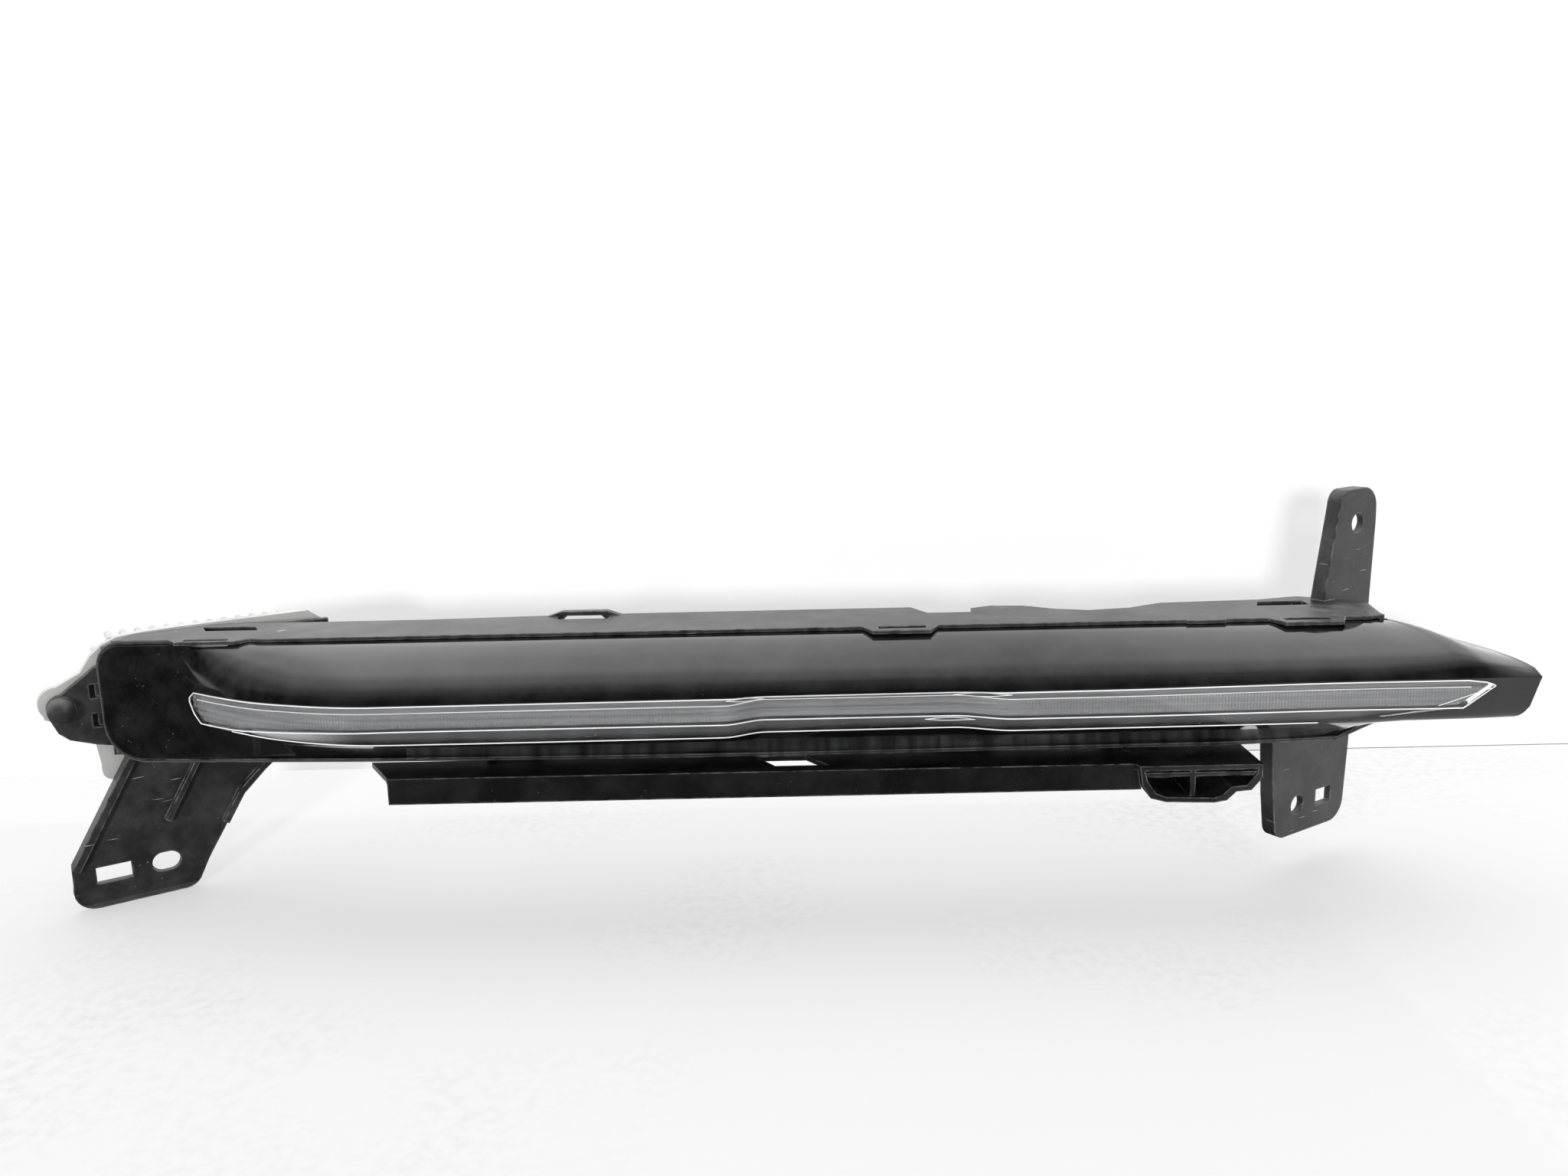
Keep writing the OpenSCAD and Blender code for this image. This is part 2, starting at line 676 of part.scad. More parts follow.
rail_end = 156;
module rail_plan() polygon([[rail_l, rail_y], [-133.8, 17.8],
    [-143, 32.4], [118, 32.4], [121, 35], [147, 35], [150, 33.9],
    [154, 29.2], [rail_end, 19.5], [rail_end, rail_y], [150, rail_y - 2.8],
    [117, rail_y - 2.8], [114, rail_y]]);

// front view of the pocket at the rail's right end, drawn in by g
module pocket_face(g = 0) polygon([[115.5 + g, rail_top - g],
    [116.6 + g, -31.2 + g], [119.4 + g, -35.4 + g], [124.5, -36.8 + g],
    [140.5, -37.3 + g], [144.6 - g, -36.6 + g], [147.6 - g, -33.6 + g],
    [152.6 - g, -33.2 + g], [rail_end - g, -29 + g],
    [rail_end - g, rail_top - g]]);

module lower_rail() color([0.08, 0.08, 0.085]) placed() difference() {
    union() {
        translate([0, 0, rail_top - rail_t]) linear_extrude(rail_t)
            rail_plan();
        box([rail_l, 117], [rail_y, rail_y + rail_t],
            [rail_top - rail_h, rail_top]);
        // pocket at the right, open to the front, with its two ribs
        difference() {
            front_plate(rail_y - 2.8, 33) pocket_face();
            front_plate(rail_y - 4, 31.2) pocket_face(1.7);
        }
        box([116.5, rail_end - 0.5], [rail_y - 1.6, 32],
            [rail_top - 4.2, rail_top - 2.8]);
        box([132.6, 134.4], [rail_y - 1.6, 32], [-36.4, rail_top - 1]);
        for (x = tongue_xs)
            box([x - tongue_w / 2, x + tongue_w / 2], [31, 44],
                [rail_top - rail_t, rail_top]);
        // ridge where the rail meets the housing's lip
        box([-8, 9.5], [30.4, 32.4], [rail_top - 0.5, rail_top + 0.2]);
    }
    translate([0, 0, rail_top - 6]) linear_extrude(8)
        polygon([[-10.9, 30.3], [6.4, 30.3], [13.6, 20.2], [-4.2, 20.2]]);
}

// Seal and heatsink

module seal_bead() color([0.2, 0.2, 0.2]) placed()
    front_plate(skirt_y + 0.02, ledge_y - 0.02) difference() {
        body_outline(rim_t + 0.3);
        body_outline(4.4);
    }

module heatsink() color([0.72, 0.73, 0.74]) placed() difference() {
    union() {
        swept_plate(sink_q, sink_q + 4) {
            polygon([[-176, -19], [-102, -19], [-102, 17], [-108, 21.6],
                     [-152, 21.6], [-164, 21.3], [-171, 20.6],
                     [-175.4, 18.6], [-179.4, 15.2], [-182.9, 10],
                     [-190, 6.4],
                     [-195.6, 1.6], [-195, -4.4], [-190, -6.8],
                     [-181, -14.6]]);
            polygon([[-181, -15], [-179.6, -27], [-173.4, -27],
                     [-170, -18], [-176, -12]]);
            translate([-190.6, 0.4]) circle(5.8);
            translate(lug) circle(3.6);
        }
        // block that reaches forward to the light source
        swept_plate(led_face_q + board_t + 0.3, sink_q + 1)
            translate(led_c - [led_board_w / 2, led_board_h / 2])
                square([led_board_w, led_board_h]);
        for (i = [0 : 12]) for (j = [0 : 7])
            swept_rod([-172.4 + i * pin_pitch, 19 - j * pin_pitch],
                      pin_d, sink_q + 3.5, sink_q + 4 + pin_len);
        for (j = [1 : 7])
            swept_rod([-172.4 - pin_pitch, 19 - j * pin_pitch],
                      pin_d, sink_q + 3.5, sink_q + 4 + pin_len);
    }
    for (s = sink_screws)
        swept_rod(s, screw_d + 2 * screw_gap, sink_q - 1, sink_q + 6);
    for (s = [-1, 1])
        swept_rod(led_c + [s * 9.6, s * 6.6], screw_d,
                  led_face_q, sink_q + 2);
}

module heatsink_gasket() color([0.12, 0.12, 0.12]) placed()
    swept_plate(sink_q - 2, sink_q - 0.03) gasket_outline();

// pan head screw along the sweep, head at the back
module back_screw(at, q, length) {
    swept_rod(at, screw_d, q - length, q + 0.5);
    difference() {
        swept_rod(at, screw_d * 1.9, q, q + 2);
        swept_rod(at, screw_d * 0.55, q + 0.9, q + 2.1);
    }
}
module heatsink_screws() color([0.6, 0.6, 0.62]) placed()
    for (s = sink_screws) back_screw(s, sink_q + 4, 11);

module thermal_pad() color([0.55, 0.6, 0.7]) placed() difference() {
    swept_plate(led_face_q + board_t, led_face_q + board_t + 0.3)
        translate(led_c - [led_board_w / 2 - 1, led_board_h / 2 - 1])
            square([led_board_w - 2, led_board_h - 2]);
    for (s = [-1, 1]) swept_rod(led_c + [s * 9.6, s * 6.6], 4.4,
                                led_face_q, led_face_q + 5);
}

module led_board() color([0.85, 0.86, 0.86]) placed() difference() {
    swept_plate(led_face_q, led_face_q + board_t)
        translate(led_c - [led_board_w / 2, led_board_h / 2])
            square([led_board_w, led_board_h]);
    for (s = [-1, 1])
        swept_rod(led_c + [s * 9.6, s * 6.6], screw_d + 2 * screw_gap,
                  led_face_q - 1, led_face_q + 3);
}

// two light sources in front of the guide's root, and two small parts
module leds() color([0.95, 0.85, 0.4]) placed() {
    for (s = [-1, 1]) swept_plate(led_face_q - 0.9, led_face_q)
        translate(led_c + [-1.5, s * 1.9 - 1.4]) square([3, 2.8]);
    for (s = [-1, 1]) swept_plate(led_face_q - 0.8, led_face_q)
        translate(led_c + [s * 9 - 1.2, -s * 4 - 0.8]) square([2.4, 1.6]);
}

// screws that hold the light source board, heads at the front
module led_board_screws() color([0.6, 0.6, 0.62]) placed()
    for (s = [-1, 1]) {
        a = led_c + [s * 9.6, s * 6.6];
        swept_rod(a, screw_d, led_face_q - 0.5, sink_q + 1);
        difference() {
            swept_rod(a, screw_d * 1.9, led_face_q - 1.9, led_face_q);
            swept_rod(a, screw_d * 0.55, led_face_q - 2, led_face_q - 0.9);
        }
    }

// Driver electronics

module driver_board() color([0.1, 0.35, 0.2]) placed() difference() {
    front_plate(driver_y, driver_y + board_t)
        translate(driver_c - [board_l / 2, board_h / 2])
            square([board_l, board_h]);
    for (p = driver_posts) y_rod(p, screw_d + 2 * screw_gap, driver_y - 1,
                                 driver_y + 3);
}

// coil, capacitors, control chips and the plug base of the driver
module driver_parts() color([0.15, 0.15, 0.16]) placed() {
    left = driver_c[0] - board_l / 2;
    box([driver_c[0] + 8, driver_c[0] + 20], [driver_y - 6, driver_y],
        [driver_c[1] - 8, driver_c[1] + 4]);
    for (i = [0, 1])
        y_rod([driver_c[0] - 4, driver_c[1] - 6 + 11 * i], 7,
              driver_y - 8, driver_y);
    for (i = [0 : 2])
        box([left + 9 + 7 * i, left + 14 + 7 * i],
            [driver_y - 1.6, driver_y], [driver_c[1] + 1,
            driver_c[1] + 6]);
    box([left + 7, left + 17], [driver_y - 5, driver_y],
        [driver_c[1] - 9, driver_c[1] - 4]);
}

module driver_screws() color([0.6, 0.6, 0.62]) placed()
    for (p = driver_posts) y_screw(p, driver_y, 6.5);

// socket in the back wall, open to the back
module connector() color([0.16, 0.16, 0.17]) placed() difference() {
    union() {
        front_plate(in_y - 1.5, back_y + 16)
            translate(socket_c - [12, 7]) square([24, 14]);
        front_plate(in_y - 3.5, in_y - 0.03)
            translate(socket_c - [14, 9]) square([28, 18]);
        box([socket_c[0] - 3, socket_c[0] + 3],
            [back_y + 9, back_y + 12], [socket_c[1] + 6.5,
            socket_c[1] + 8.6]);
    }
    front_plate(back_y + 1, back_y + 17)
        translate(socket_c - [10.3, 5.3]) square([20.6, 10.6]);
    connector_holes();
}
pin_at = [for (i = [-2 : 2]) for (s = [-1, 1]) [i * 3.6, s * 2.2]];
module connector_holes() for (p = pin_at)
    front_plate(in_y - 5, back_y + 3) translate(socket_c + p - [0.5, 0.5])
        square([1, 1]);
module connector_pins() color([0.8, 0.7, 0.4]) placed()
    for (p = pin_at) front_plate(in_y - 8, back_y + 11)
        translate(socket_c + p - [0.5, 0.5]) square([1, 1]);

// Lead from the driver to the light source

lead_d = 3;
lead_path = [[driver_c[0] - 39.52, driver_y - 2.7, -8.5],
    [driver_c[0] - 44, driver_y - 2.8, -8.6], [-4, 33.6, -11.6],
    [-12, 31.6, -14.4], [-30, 30.8, -15.4], [-70, 30.8, -15.4],
    [-110, 31.2, -15.4], [-150, 32.6, -15], [-178, 34.6, -13.4],
    [-189, 36.4, -9.6], [-196, 39.6, -5.2], [-200.3, 45.3, -4.6]];
// ring round point i of a path, square to the path there
function ring(path, i, d, n = 10) = let (
    v = path[min(len(path) - 1, i + 1)] - path[max(0, i - 1)],
    u = v / norm(v), s = cross([0, 0, 1], u) / norm(cross([0, 0, 1], u)),
    w = cross(u, s))
    [for (k = [0 : n - 1]) path[i]
        + d / 2 * (cos(360 * k / n) * s + sin(360 * k / n) * w)];
module lamp_lead() color([0.1, 0.1, 0.1]) placed()
    loft([for (i = [0 : len(lead_path) - 1]) ring(lead_path, i, lead_d)]);
// plug at the driver's end of the lead
module lead_plug() color([0.85, 0.85, 0.82]) placed()
    box([driver_c[0] - 39.5, driver_c[0] - 30.05],
        [driver_y - 4.8, driver_y - 0.6], [driver_c[1] - 9.4,
        driver_c[1] - 3.6]);

// Vent

module vent_cap() color([0.12, 0.12, 0.12]) placed() difference() {
    y_rod(vent_c, 17, back_y + 0.2, back_y + 5.4);
    y_rod(vent_c, 13.2, back_y - 1, back_y + 3.6);
    for (i = [0 : 3]) translate([vent_c[0], back_y, vent_c[1]])
        rotate([0, 45 + 90 * i, 0]) translate([5, -1, -1.5])
            cube([6, 2.8, 3]);
}
module vent_membrane() color([0.92, 0.92, 0.9]) placed()
    y_rod(vent_c, 10, back_y + 3.02, back_y + 3.5);

housing();
lower_rail();
lens_hood();
lens_strip();
light_guide();
guide_carrier();
carrier_screws();
seal_bead();
heatsink();
heatsink_gasket();
heatsink_screws();
thermal_pad();
led_board();
leds();
led_board_screws();
driver_board();
driver_parts();
driver_screws();
connector();
connector_pins();
lamp_lead();
lead_plug();
vent_cap();
vent_membrane();
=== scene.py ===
# %% [markdown]
# # A daytime running light, dressed for its portrait
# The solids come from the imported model, in metres, with the origin at the
# screw hole of the upper tab. This lesson gives them a camera, soft daylight,
# finishes that react to light as the real plastics and metals do, and finer
# lens pieces where the solid model is too coarse for a glossy surface.

import math

import bmesh
import bpy
from mathutils import Matrix, Vector


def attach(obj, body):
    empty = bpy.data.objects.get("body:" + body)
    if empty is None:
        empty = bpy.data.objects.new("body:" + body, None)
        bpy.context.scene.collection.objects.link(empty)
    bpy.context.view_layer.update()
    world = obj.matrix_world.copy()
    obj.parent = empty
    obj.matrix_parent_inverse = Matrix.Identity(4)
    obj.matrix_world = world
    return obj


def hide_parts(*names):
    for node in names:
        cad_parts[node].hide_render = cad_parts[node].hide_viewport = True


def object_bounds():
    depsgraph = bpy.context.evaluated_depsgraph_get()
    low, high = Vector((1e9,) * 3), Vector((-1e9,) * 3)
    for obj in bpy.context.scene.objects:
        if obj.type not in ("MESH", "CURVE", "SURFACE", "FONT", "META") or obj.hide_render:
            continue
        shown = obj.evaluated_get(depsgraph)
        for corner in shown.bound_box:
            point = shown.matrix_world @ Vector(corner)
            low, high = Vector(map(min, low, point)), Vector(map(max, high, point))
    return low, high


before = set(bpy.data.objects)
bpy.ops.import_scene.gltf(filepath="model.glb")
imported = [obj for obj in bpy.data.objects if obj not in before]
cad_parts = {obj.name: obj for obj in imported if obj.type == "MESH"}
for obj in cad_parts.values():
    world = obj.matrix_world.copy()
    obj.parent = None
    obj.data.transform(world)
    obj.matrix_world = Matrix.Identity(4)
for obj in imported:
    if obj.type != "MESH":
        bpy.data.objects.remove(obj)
cad_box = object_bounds()
MM = 0.001
print("solids' box:", [tuple(round(v, 4) for v in c) for c in cad_box])

# %% [markdown]
# ## The camera
# The photograph looks at the lamp from straight ahead, a little from above,
# with a wide lens close by, so the near strip looms and the tabs fall away.
# The picture is 2048 pixels wide and the focal length 1600 of them. The lamp
# rises slightly to the right, so the camera is rolled the other way.

# %% Camera
PICTURE_W = 2048
FOCAL_PX = 1600
LOOK_DOWN = math.radians(11)
ROLL = math.radians(-1.2)
CAMERA_AT = Vector((-0.20520, -0.43283, 0.06480))

lens_eye = bpy.data.cameras.new("camera")
lens_eye.sensor_width = 36
lens_eye.lens = 36 * FOCAL_PX / PICTURE_W
lens_eye.clip_start = 0.01
camera = bpy.data.objects.new("camera", lens_eye)
bpy.context.scene.collection.objects.link(camera)
turn = Matrix.Rotation(math.pi / 2 - LOOK_DOWN, 4, "X") @ Matrix.Rotation(ROLL, 4, "Z")
camera.matrix_world = Matrix.Translation(CAMERA_AT) @ turn
bpy.context.scene.camera = camera
print("lens", round(lens_eye.lens, 3), "mm")

# %% [markdown]
# ## Node helpers
# Materials are built from nodes. Small helpers keep each recipe short: one
# adds a node and sets its sockets, one starts a material with its Principled
# shader, and the others blend colours, stretch a range and do sums.

# %% Node helpers
def add(tree, kind, settings=None, **sockets):
    """A new node. Settings are the node's own fields, sockets its inputs,
    each a plain value or the output that it is joined to."""
    node = tree.nodes.new("ShaderNode" + kind)
    for field, value in (settings or {}).items():
        setattr(node, field, value)
    for name, value in sockets.items():
        key = int(name[1:]) if name[0] == "i" and name[1:].isdigit() else name
        socket = node.inputs[key.replace("_", " ") if isinstance(key, str) else key]
        if isinstance(value, bpy.types.NodeSocket):
            tree.links.new(value, socket)
        else:
            socket.default_value = value
    return node


def start(name, colour, roughness, metallic=0.0):
    """A material with its Principled shader set to plain values."""
    made = bpy.data.materials.new(name)
    made.use_nodes = True
    tree = made.node_tree
    shader = tree.nodes["Principled BSDF"]
    shader.inputs["Base Color"].default_value = (*colour, 1)
    shader.inputs["Roughness"].default_value = roughness
    shader.inputs["Metallic"].default_value = metallic
    return made, tree, shader


def blend_colours(tree, mask, low, high):
    """A colour that goes from low to high as the mask goes from 0 to 1."""
    mix = add(tree, "Mix", {"data_type": "RGBA"}, Factor=mask)
    for place, value in ((6, low), (7, high)):
        if isinstance(value, bpy.types.NodeSocket):
            tree.links.new(value, mix.inputs[place])
        else:
            mix.inputs[place].default_value = (*value, 1)
    return mix.outputs[2]


def spread(tree, value, low, high, to_low=0.0, to_high=1.0, smooth=False):
    """The value's range from low to high, stretched to another range."""
    step = add(tree, "MapRange", Value=value, From_Min=low, From_Max=high,
               To_Min=to_low, To_Max=to_high)
    if smooth:
        step.interpolation_type = "SMOOTHSTEP"
    return step.outputs["Result"]


def sums(tree, operation, one, other=0.5):
    return add(tree, "Math", {"operation": operation}, i0=one, i1=other).outputs[0]


# %% [markdown]
# ## Light
# The lamp was photographed on a white table in plain daylight. The world is
# white all round for the camera and for reflections, and a little weaker as
# light on the surfaces. One broad lamp stands above and behind, and a window
# behind the photographer throws the soft shadows on the wall and the table.
# Reflections see neither, as their edges would draw lines in the gloss.

# %% World and lamps
WORLD_LEVEL = 0.62
world = bpy.data.worlds.new("white_room")
bpy.context.scene.world = world
world.use_nodes = True
sky = world.node_tree
sky.nodes.clear()
rays = add(sky, "LightPath")
seen = sums(sky, "MAXIMUM", rays.outputs["Is Camera Ray"],
            rays.outputs["Is Glossy Ray"])
seen = sums(sky, "MAXIMUM", seen, rays.outputs["Is Transmission Ray"])
level = spread(sky, seen, 0, 1, WORLD_LEVEL, 1.0)
ground = add(sky, "Background", Color=(1, 1, 1, 1), Strength=level)
add(sky, "OutputWorld", Surface=ground.outputs[0])


def area_lamp(name, at, look_at, size, watts):
    data = bpy.data.lights.new(name, "AREA")
    data.shape = "RECTANGLE"
    data.size, data.size_y = size
    data.energy = watts
    lamp = bpy.data.objects.new(name, data)
    lamp.location = at
    lamp.rotation_euler = (Vector(look_at) - Vector(at)).to_track_quat("-Z", "Y").to_euler()
    lamp.visible_camera = False
    bpy.context.scene.collection.objects.link(lamp)
    return lamp


MIDDLE = (cad_box[0] + cad_box[1]) / 2
for lamp in (area_lamp("broad_lamp", (-0.25, 0.45, 1.25), MIDDLE, (2.0, 1.2), 7),
             area_lamp("window", (-0.6, -2.2, 0.3), MIDDLE, (0.24, 0.2), 29)):
    lamp.visible_glossy = False
bpy.context.scene.view_settings.view_transform = "Standard"

# %% [markdown]
# ## Table and wall
# The table and the wall behind it are nearly white. A part of what the camera
# sees of them is their own white and the rest is lit, so the shadow stays
# soft and pale. A thin grey line at the right marks where they meet. The wall
# is clear from behind, so that the lamp's back can be looked at too.

# %% Stage
TABLE_Z = cad_box[0].z - 0.0002
WALL_Y, WALL_TOP, STAGE_HALF = 0.103, 0.25, 3
STAGE_WHITE, OWN_WHITE = 0.95, 0.45   # paint, and share of the sheet's own light
JOINT_Y, JOINT_LEFT, JOINT_TOP = WALL_Y - 0.0004, -0.1, TABLE_Z + 0.0004


def pale_stage(name, own_white, mottle, white=STAGE_WHITE):
    made, tree, shader = start(name, (white,) * 3, 0.7)
    where = add(tree, "TexCoord").outputs["Object"]
    clouds = add(tree, "TexNoise", Vector=where, Scale=9.0, Detail=6.0)
    specks = add(tree, "TexNoise", Vector=where, Scale=260.0, Detail=2.0)
    dirt = sums(tree, "MULTIPLY", spread(tree, clouds.outputs[0], 0.5, 0.72),
                spread(tree, specks.outputs[0], 0.4, 0.75))
    colour = blend_colours(tree, dirt, (white,) * 3, (white - mottle,) * 3)
    tree.links.new(colour, shader.inputs["Base Color"])
    path = add(tree, "LightPath")
    seen = sums(tree, "MAXIMUM", path.outputs["Is Camera Ray"],
                path.outputs["Is Glossy Ray"])
    seen = sums(tree, "MAXIMUM", seen, path.outputs["Is Transmission Ray"])
    own = add(tree, "Emission", Color=(1, 1, 1, 1), Strength=1.0)
    mix = add(tree, "MixShader", i0=sums(tree, "MULTIPLY", seen, own_white),
              i1=shader.outputs[0], i2=own.outputs[0])
    end = tree.nodes["Material Output"]
    tree.links.new(mix.outputs[0], end.inputs["Surface"])
    return made, tree, mix, end


def sheet_of(name, corners, material):
    mesh = bpy.data.meshes.new(name)
    mesh.from_pydata([tuple(c) for c in corners], [], [(0, 1, 2, 3)])
    made = bpy.data.objects.new(name, mesh)
    bpy.context.scene.collection.objects.link(made)
    mesh.materials.append(material)
    return made


def upright(left, y, top):
    """Corners of a sheet that stands on the table and faces the camera."""
    return [(left, y, TABLE_Z), (STAGE_HALF, y, TABLE_Z), (STAGE_HALF, y, top), (left, y, top)]


def from_front_only(made, tree, mix, end):
    """The same finish, clear where a sheet is seen from behind."""
    back = add(tree, "NewGeometry").outputs["Backfacing"]
    gone = add(tree, "BsdfTransparent")
    both = add(tree, "MixShader", i0=back, i1=mix.outputs[0], i2=gone.outputs[0])
    tree.links.new(both.outputs[0], end.inputs["Surface"])
    return made


sheet_of("table", [(x * STAGE_HALF, y * STAGE_HALF, TABLE_Z)
                   for x, y in ((-1, -1), (1, -1), (1, 1), (-1, 1))],
         pale_stage("table_white", OWN_WHITE, 0.25)[0])
for name, corners, finish in (
        ("wall", upright(-STAGE_HALF, WALL_Y, WALL_TOP), pale_stage("wall_white", OWN_WHITE, 0.0)),
        ("wall_joint", upright(JOINT_LEFT, JOINT_Y, JOINT_TOP),
         pale_stage("joint_grey", 0.0, 0.15, white=0.25))):
    sheet = sheet_of(name, corners, from_front_only(*finish))
    sheet.visible_shadow = sheet.visible_diffuse = sheet.visible_glossy = False
print("table at", round(TABLE_Z, 4), "and wall at", WALL_Y)

# %% [markdown]
# ## What the gloss reflects
# A glossy black hood shows little of itself and much of the room. So a curved
# screen stands round the front of the lamp, which only reflections see: dark
# behind the photographer, bright overhead like a soft lamp, and a little
# darker again towards the back. It runs on under the lamp, and ends at the
# right, where the wing's lower edge mirrors the white table.

# %% Screen
SCREEN_RADIUS, SCREEN_LIFT = 1.4, 0.004
# brightness of the screen at angles up from the photographer's side, and how
# much stronger it is along X
SCREEN = [(0, 0.02), (42, 0.02), (64, 0.4), (84, 1.2), (98, 1.9), (118, 1.75), (150, 1.35)]
ALONG = [(-8, 0.75), (-1.2, 1.0), (-0.9, 1.35), (-0.3, 1.05), (0.12, 0.8), (0.5, 1.1), (0.9, 1.25)]


def screen_glow():
    made = bpy.data.materials.new("screen_glow")
    made.use_nodes = True
    tree = made.node_tree
    tree.nodes.clear()
    place = add(tree, "SeparateXYZ", Vector=add(tree, "TexCoord").outputs["Object"])
    front = sums(tree, "MULTIPLY", place.outputs["Y"], -1.0)
    angle = sums(tree, "ARCTAN2", place.outputs["Z"], front)

    def steps(value, table, unit=1.0):
        shade = table[0][1]
        for (a, low), (b, high) in zip(table, table[1:]):
            rise = spread(tree, value, a * unit, b * unit, 0, high - low, smooth=True)
            shade = sums(tree, "ADD", rise, shade)
        return shade

    shade = sums(tree, "MULTIPLY", steps(angle, SCREEN, math.radians(1)),
                 steps(place.outputs["X"], ALONG))
    shade = sums(tree, "ADD", shade, spread(tree, place.outputs["X"], 1.0, 2.2, 0.0, 1.8))
    glow = add(tree, "Emission", Color=(1, 1, 1, 1), Strength=shade)
    add(tree, "OutputMaterial", Surface=glow.outputs[0])
    return made


def screen(name, path, left, right, finish):
    """A sheet along a path of Y and Z, seen by reflections only."""
    mesh = bmesh.new()
    rows = [[mesh.verts.new((x, y, z)) for x in (left, right)] for y, z in path]
    for a, b in zip(rows, rows[1:]):
        mesh.faces.new((a[0], a[1], b[1], b[0]))
    data = bpy.data.meshes.new(name)
    mesh.to_mesh(data)
    mesh.free()
    data.materials.append(finish)
    made = bpy.data.objects.new(name, data)
    bpy.context.scene.collection.objects.link(made)
    made.visible_camera = made.visible_shadow = made.visible_diffuse = False
    made.visible_transmission = False


glow = screen_glow()
arch = [(-SCREEN_RADIUS * math.cos(math.radians(a)), SCREEN_RADIUS * math.sin(math.radians(a)))
        for a in range(0, 181, 10)]
foot = (-SCREEN_RADIUS, TABLE_Z + SCREEN_LIFT)
screen("arch", [foot] + arch, -8, 3, glow)
screen("floor_cloth", [(0.045, TABLE_Z + SCREEN_LIFT / 2), foot], -3, -0.03, glow)
print("screen:", len(arch), "rows, radius", SCREEN_RADIUS)

# %% [markdown]
# ## The lines of the lamp
# The strip's face turns back at the left, is set back 5 mm in the middle and
# crowns towards the right. The same few tables that shape the solids shape
# the finer lens here. They are read with a smooth curve through their points,
# because a straight-line kink would show in a glossy reflection.

# %% Lamp lines, in millimetres of the lamp's own frame
ORIGIN = (205.2016, 62.4331, 47.4)   # upper screw hole, seen from that frame
LENS_T = 2.2
PANEL_Y, RIM_Y, BODY_TOP, BODY_L, BODY_R = 29, 30, 21, -232, 201
WING_X, TURN_X, RECESS_D, CREST_Z, STRIP_H = 239, -130, 5, 5.1, 8.3
CROWN_X, TURN_D, CROWN_D = 110, 26, 3  # the crown's start, and depths of turn and crown
RAMP_L, RAMP_R = (-20, -7), (53, 72)  # the two ramps of the set-back stretch
RIM_T, FIT = 1.2, 0.2                 # the housing's rim, and its gap to the lens
ROUND_T, ROUND_B = 9, 14              # the housing's corners at the left, top and bottom
SKIRT_Y, SKIRT_TOP, SKIRT_L = RIM_Y + 4, BODY_TOP - RIM_T - FIT, BODY_L + RIM_T + FIT
CORNER_T, CORNER_B = ROUND_T - RIM_T - FIT, ROUND_B - RIM_T - FIT
WING_START, WING_FOOT = BODY_R - 2, -14.2
FOOT_TURN_X = 183                     # where the foot starts to rise to the wing's
FACET_L, FACET_R = -184, 171          # ends of the strip's lower facet
TIP_TURN_X = 215                      # where the strip starts to narrow to its tip


def placed(p):
    """A point of the lamp's own frame, in the row frame and in metres."""
    return Vector((p[0] - ORIGIN[0], p[1] - ORIGIN[1], p[2] - ORIGIN[2])) * MM


def ease(a, b, x):
    t = max(0.0, min(1.0, (x - a) / (b - a)))
    return t * t * (3 - 2 * t)


def curve_through(table):
    """A smooth function through the table's points, level past its ends."""
    xs, ys = zip(*table)
    rise = [(ys[i + 1] - ys[i]) / (xs[i + 1] - xs[i]) for i in range(len(xs) - 1)]
    slope = [0.0] + [0.0 if a * b <= 0 else 2 * a * b / (a + b)
                     for a, b in zip(rise, rise[1:])] + [0.0]

    def at(x):
        if x <= xs[0] or x >= xs[-1]:
            return ys[0] if x <= xs[0] else ys[-1]
        i = max(k for k in range(len(xs) - 1) if xs[k] <= x)
        w = xs[i + 1] - xs[i]
        t = (x - xs[i]) / w
        return ((2 * t ** 3 - 3 * t * t + 1) * ys[i]
                + (t ** 3 - 2 * t * t + t) * w * slope[i]
                + (3 * t * t - 2 * t ** 3) * ys[i + 1]
                + (t ** 3 - t * t) * w * slope[i + 1])
    return at


crest = curve_through([(-230, 2), (-206, 2.6), (-198, 4.3), (-176, 4.3),
                       (-155, 4.7), (-35, CREST_Z), (99, 5.5), (171, 6.1),
                       (239, 5.6)])
bright_z = curve_through([(-230, -1.5), (-206, -2.5), (-197, -6.2),
                          (-182, -6.1), (-166, -5.1), (-147, -4),
                          (-122, CREST_Z - STRIP_H - 0.3), (99, -3.3),
                          (171, -3), (239, -3.6)])
under_z = curve_through([(-230, -4), (-206, -5.5), (-197, -6.9), (-184, -7.2),
                         (-166, -7.8), (-122, -8.3), (171, -7.4), (239, -7.6)])
base_z = curve_through([(-218, -21.8), (-140, -23.2), (-30, -24),
                        (150, -23.6), (189, -22.4), (204, -21.6)])


def line_y(x):
    return min(PANEL_Y, TURN_D * max(0, (TURN_X - x) / 70) ** 1.8
               + CROWN_D * max(0, (x - CROWN_X) / (WING_X - CROWN_X)) ** 2)


def recess(x):
    return ease(*RAMP_L, x) * (1 - ease(*RAMP_R, x))


def strip_y(x):
    return min(PANEL_Y, line_y(x) + RECESS_D * recess(x))


def strip_top(x):
    return crest(x) - 0.8 * recess(x)


def hood_low(x):
    return strip_top(x) + 0.35 + 1.7 * recess(x)


print("face at mid length:", round(strip_y(20), 2), round(strip_top(20), 2))

# %% [markdown]
# ## The lens shell
# Hood and strip are one moulding in two colours. The shell is lofted: a
# section is drawn at each station along the lamp, an outer line and an inner
# one, and the skin joins each section to the next. The wing's sections lean
# more and more, so that the right end is cut along the car's sweep.

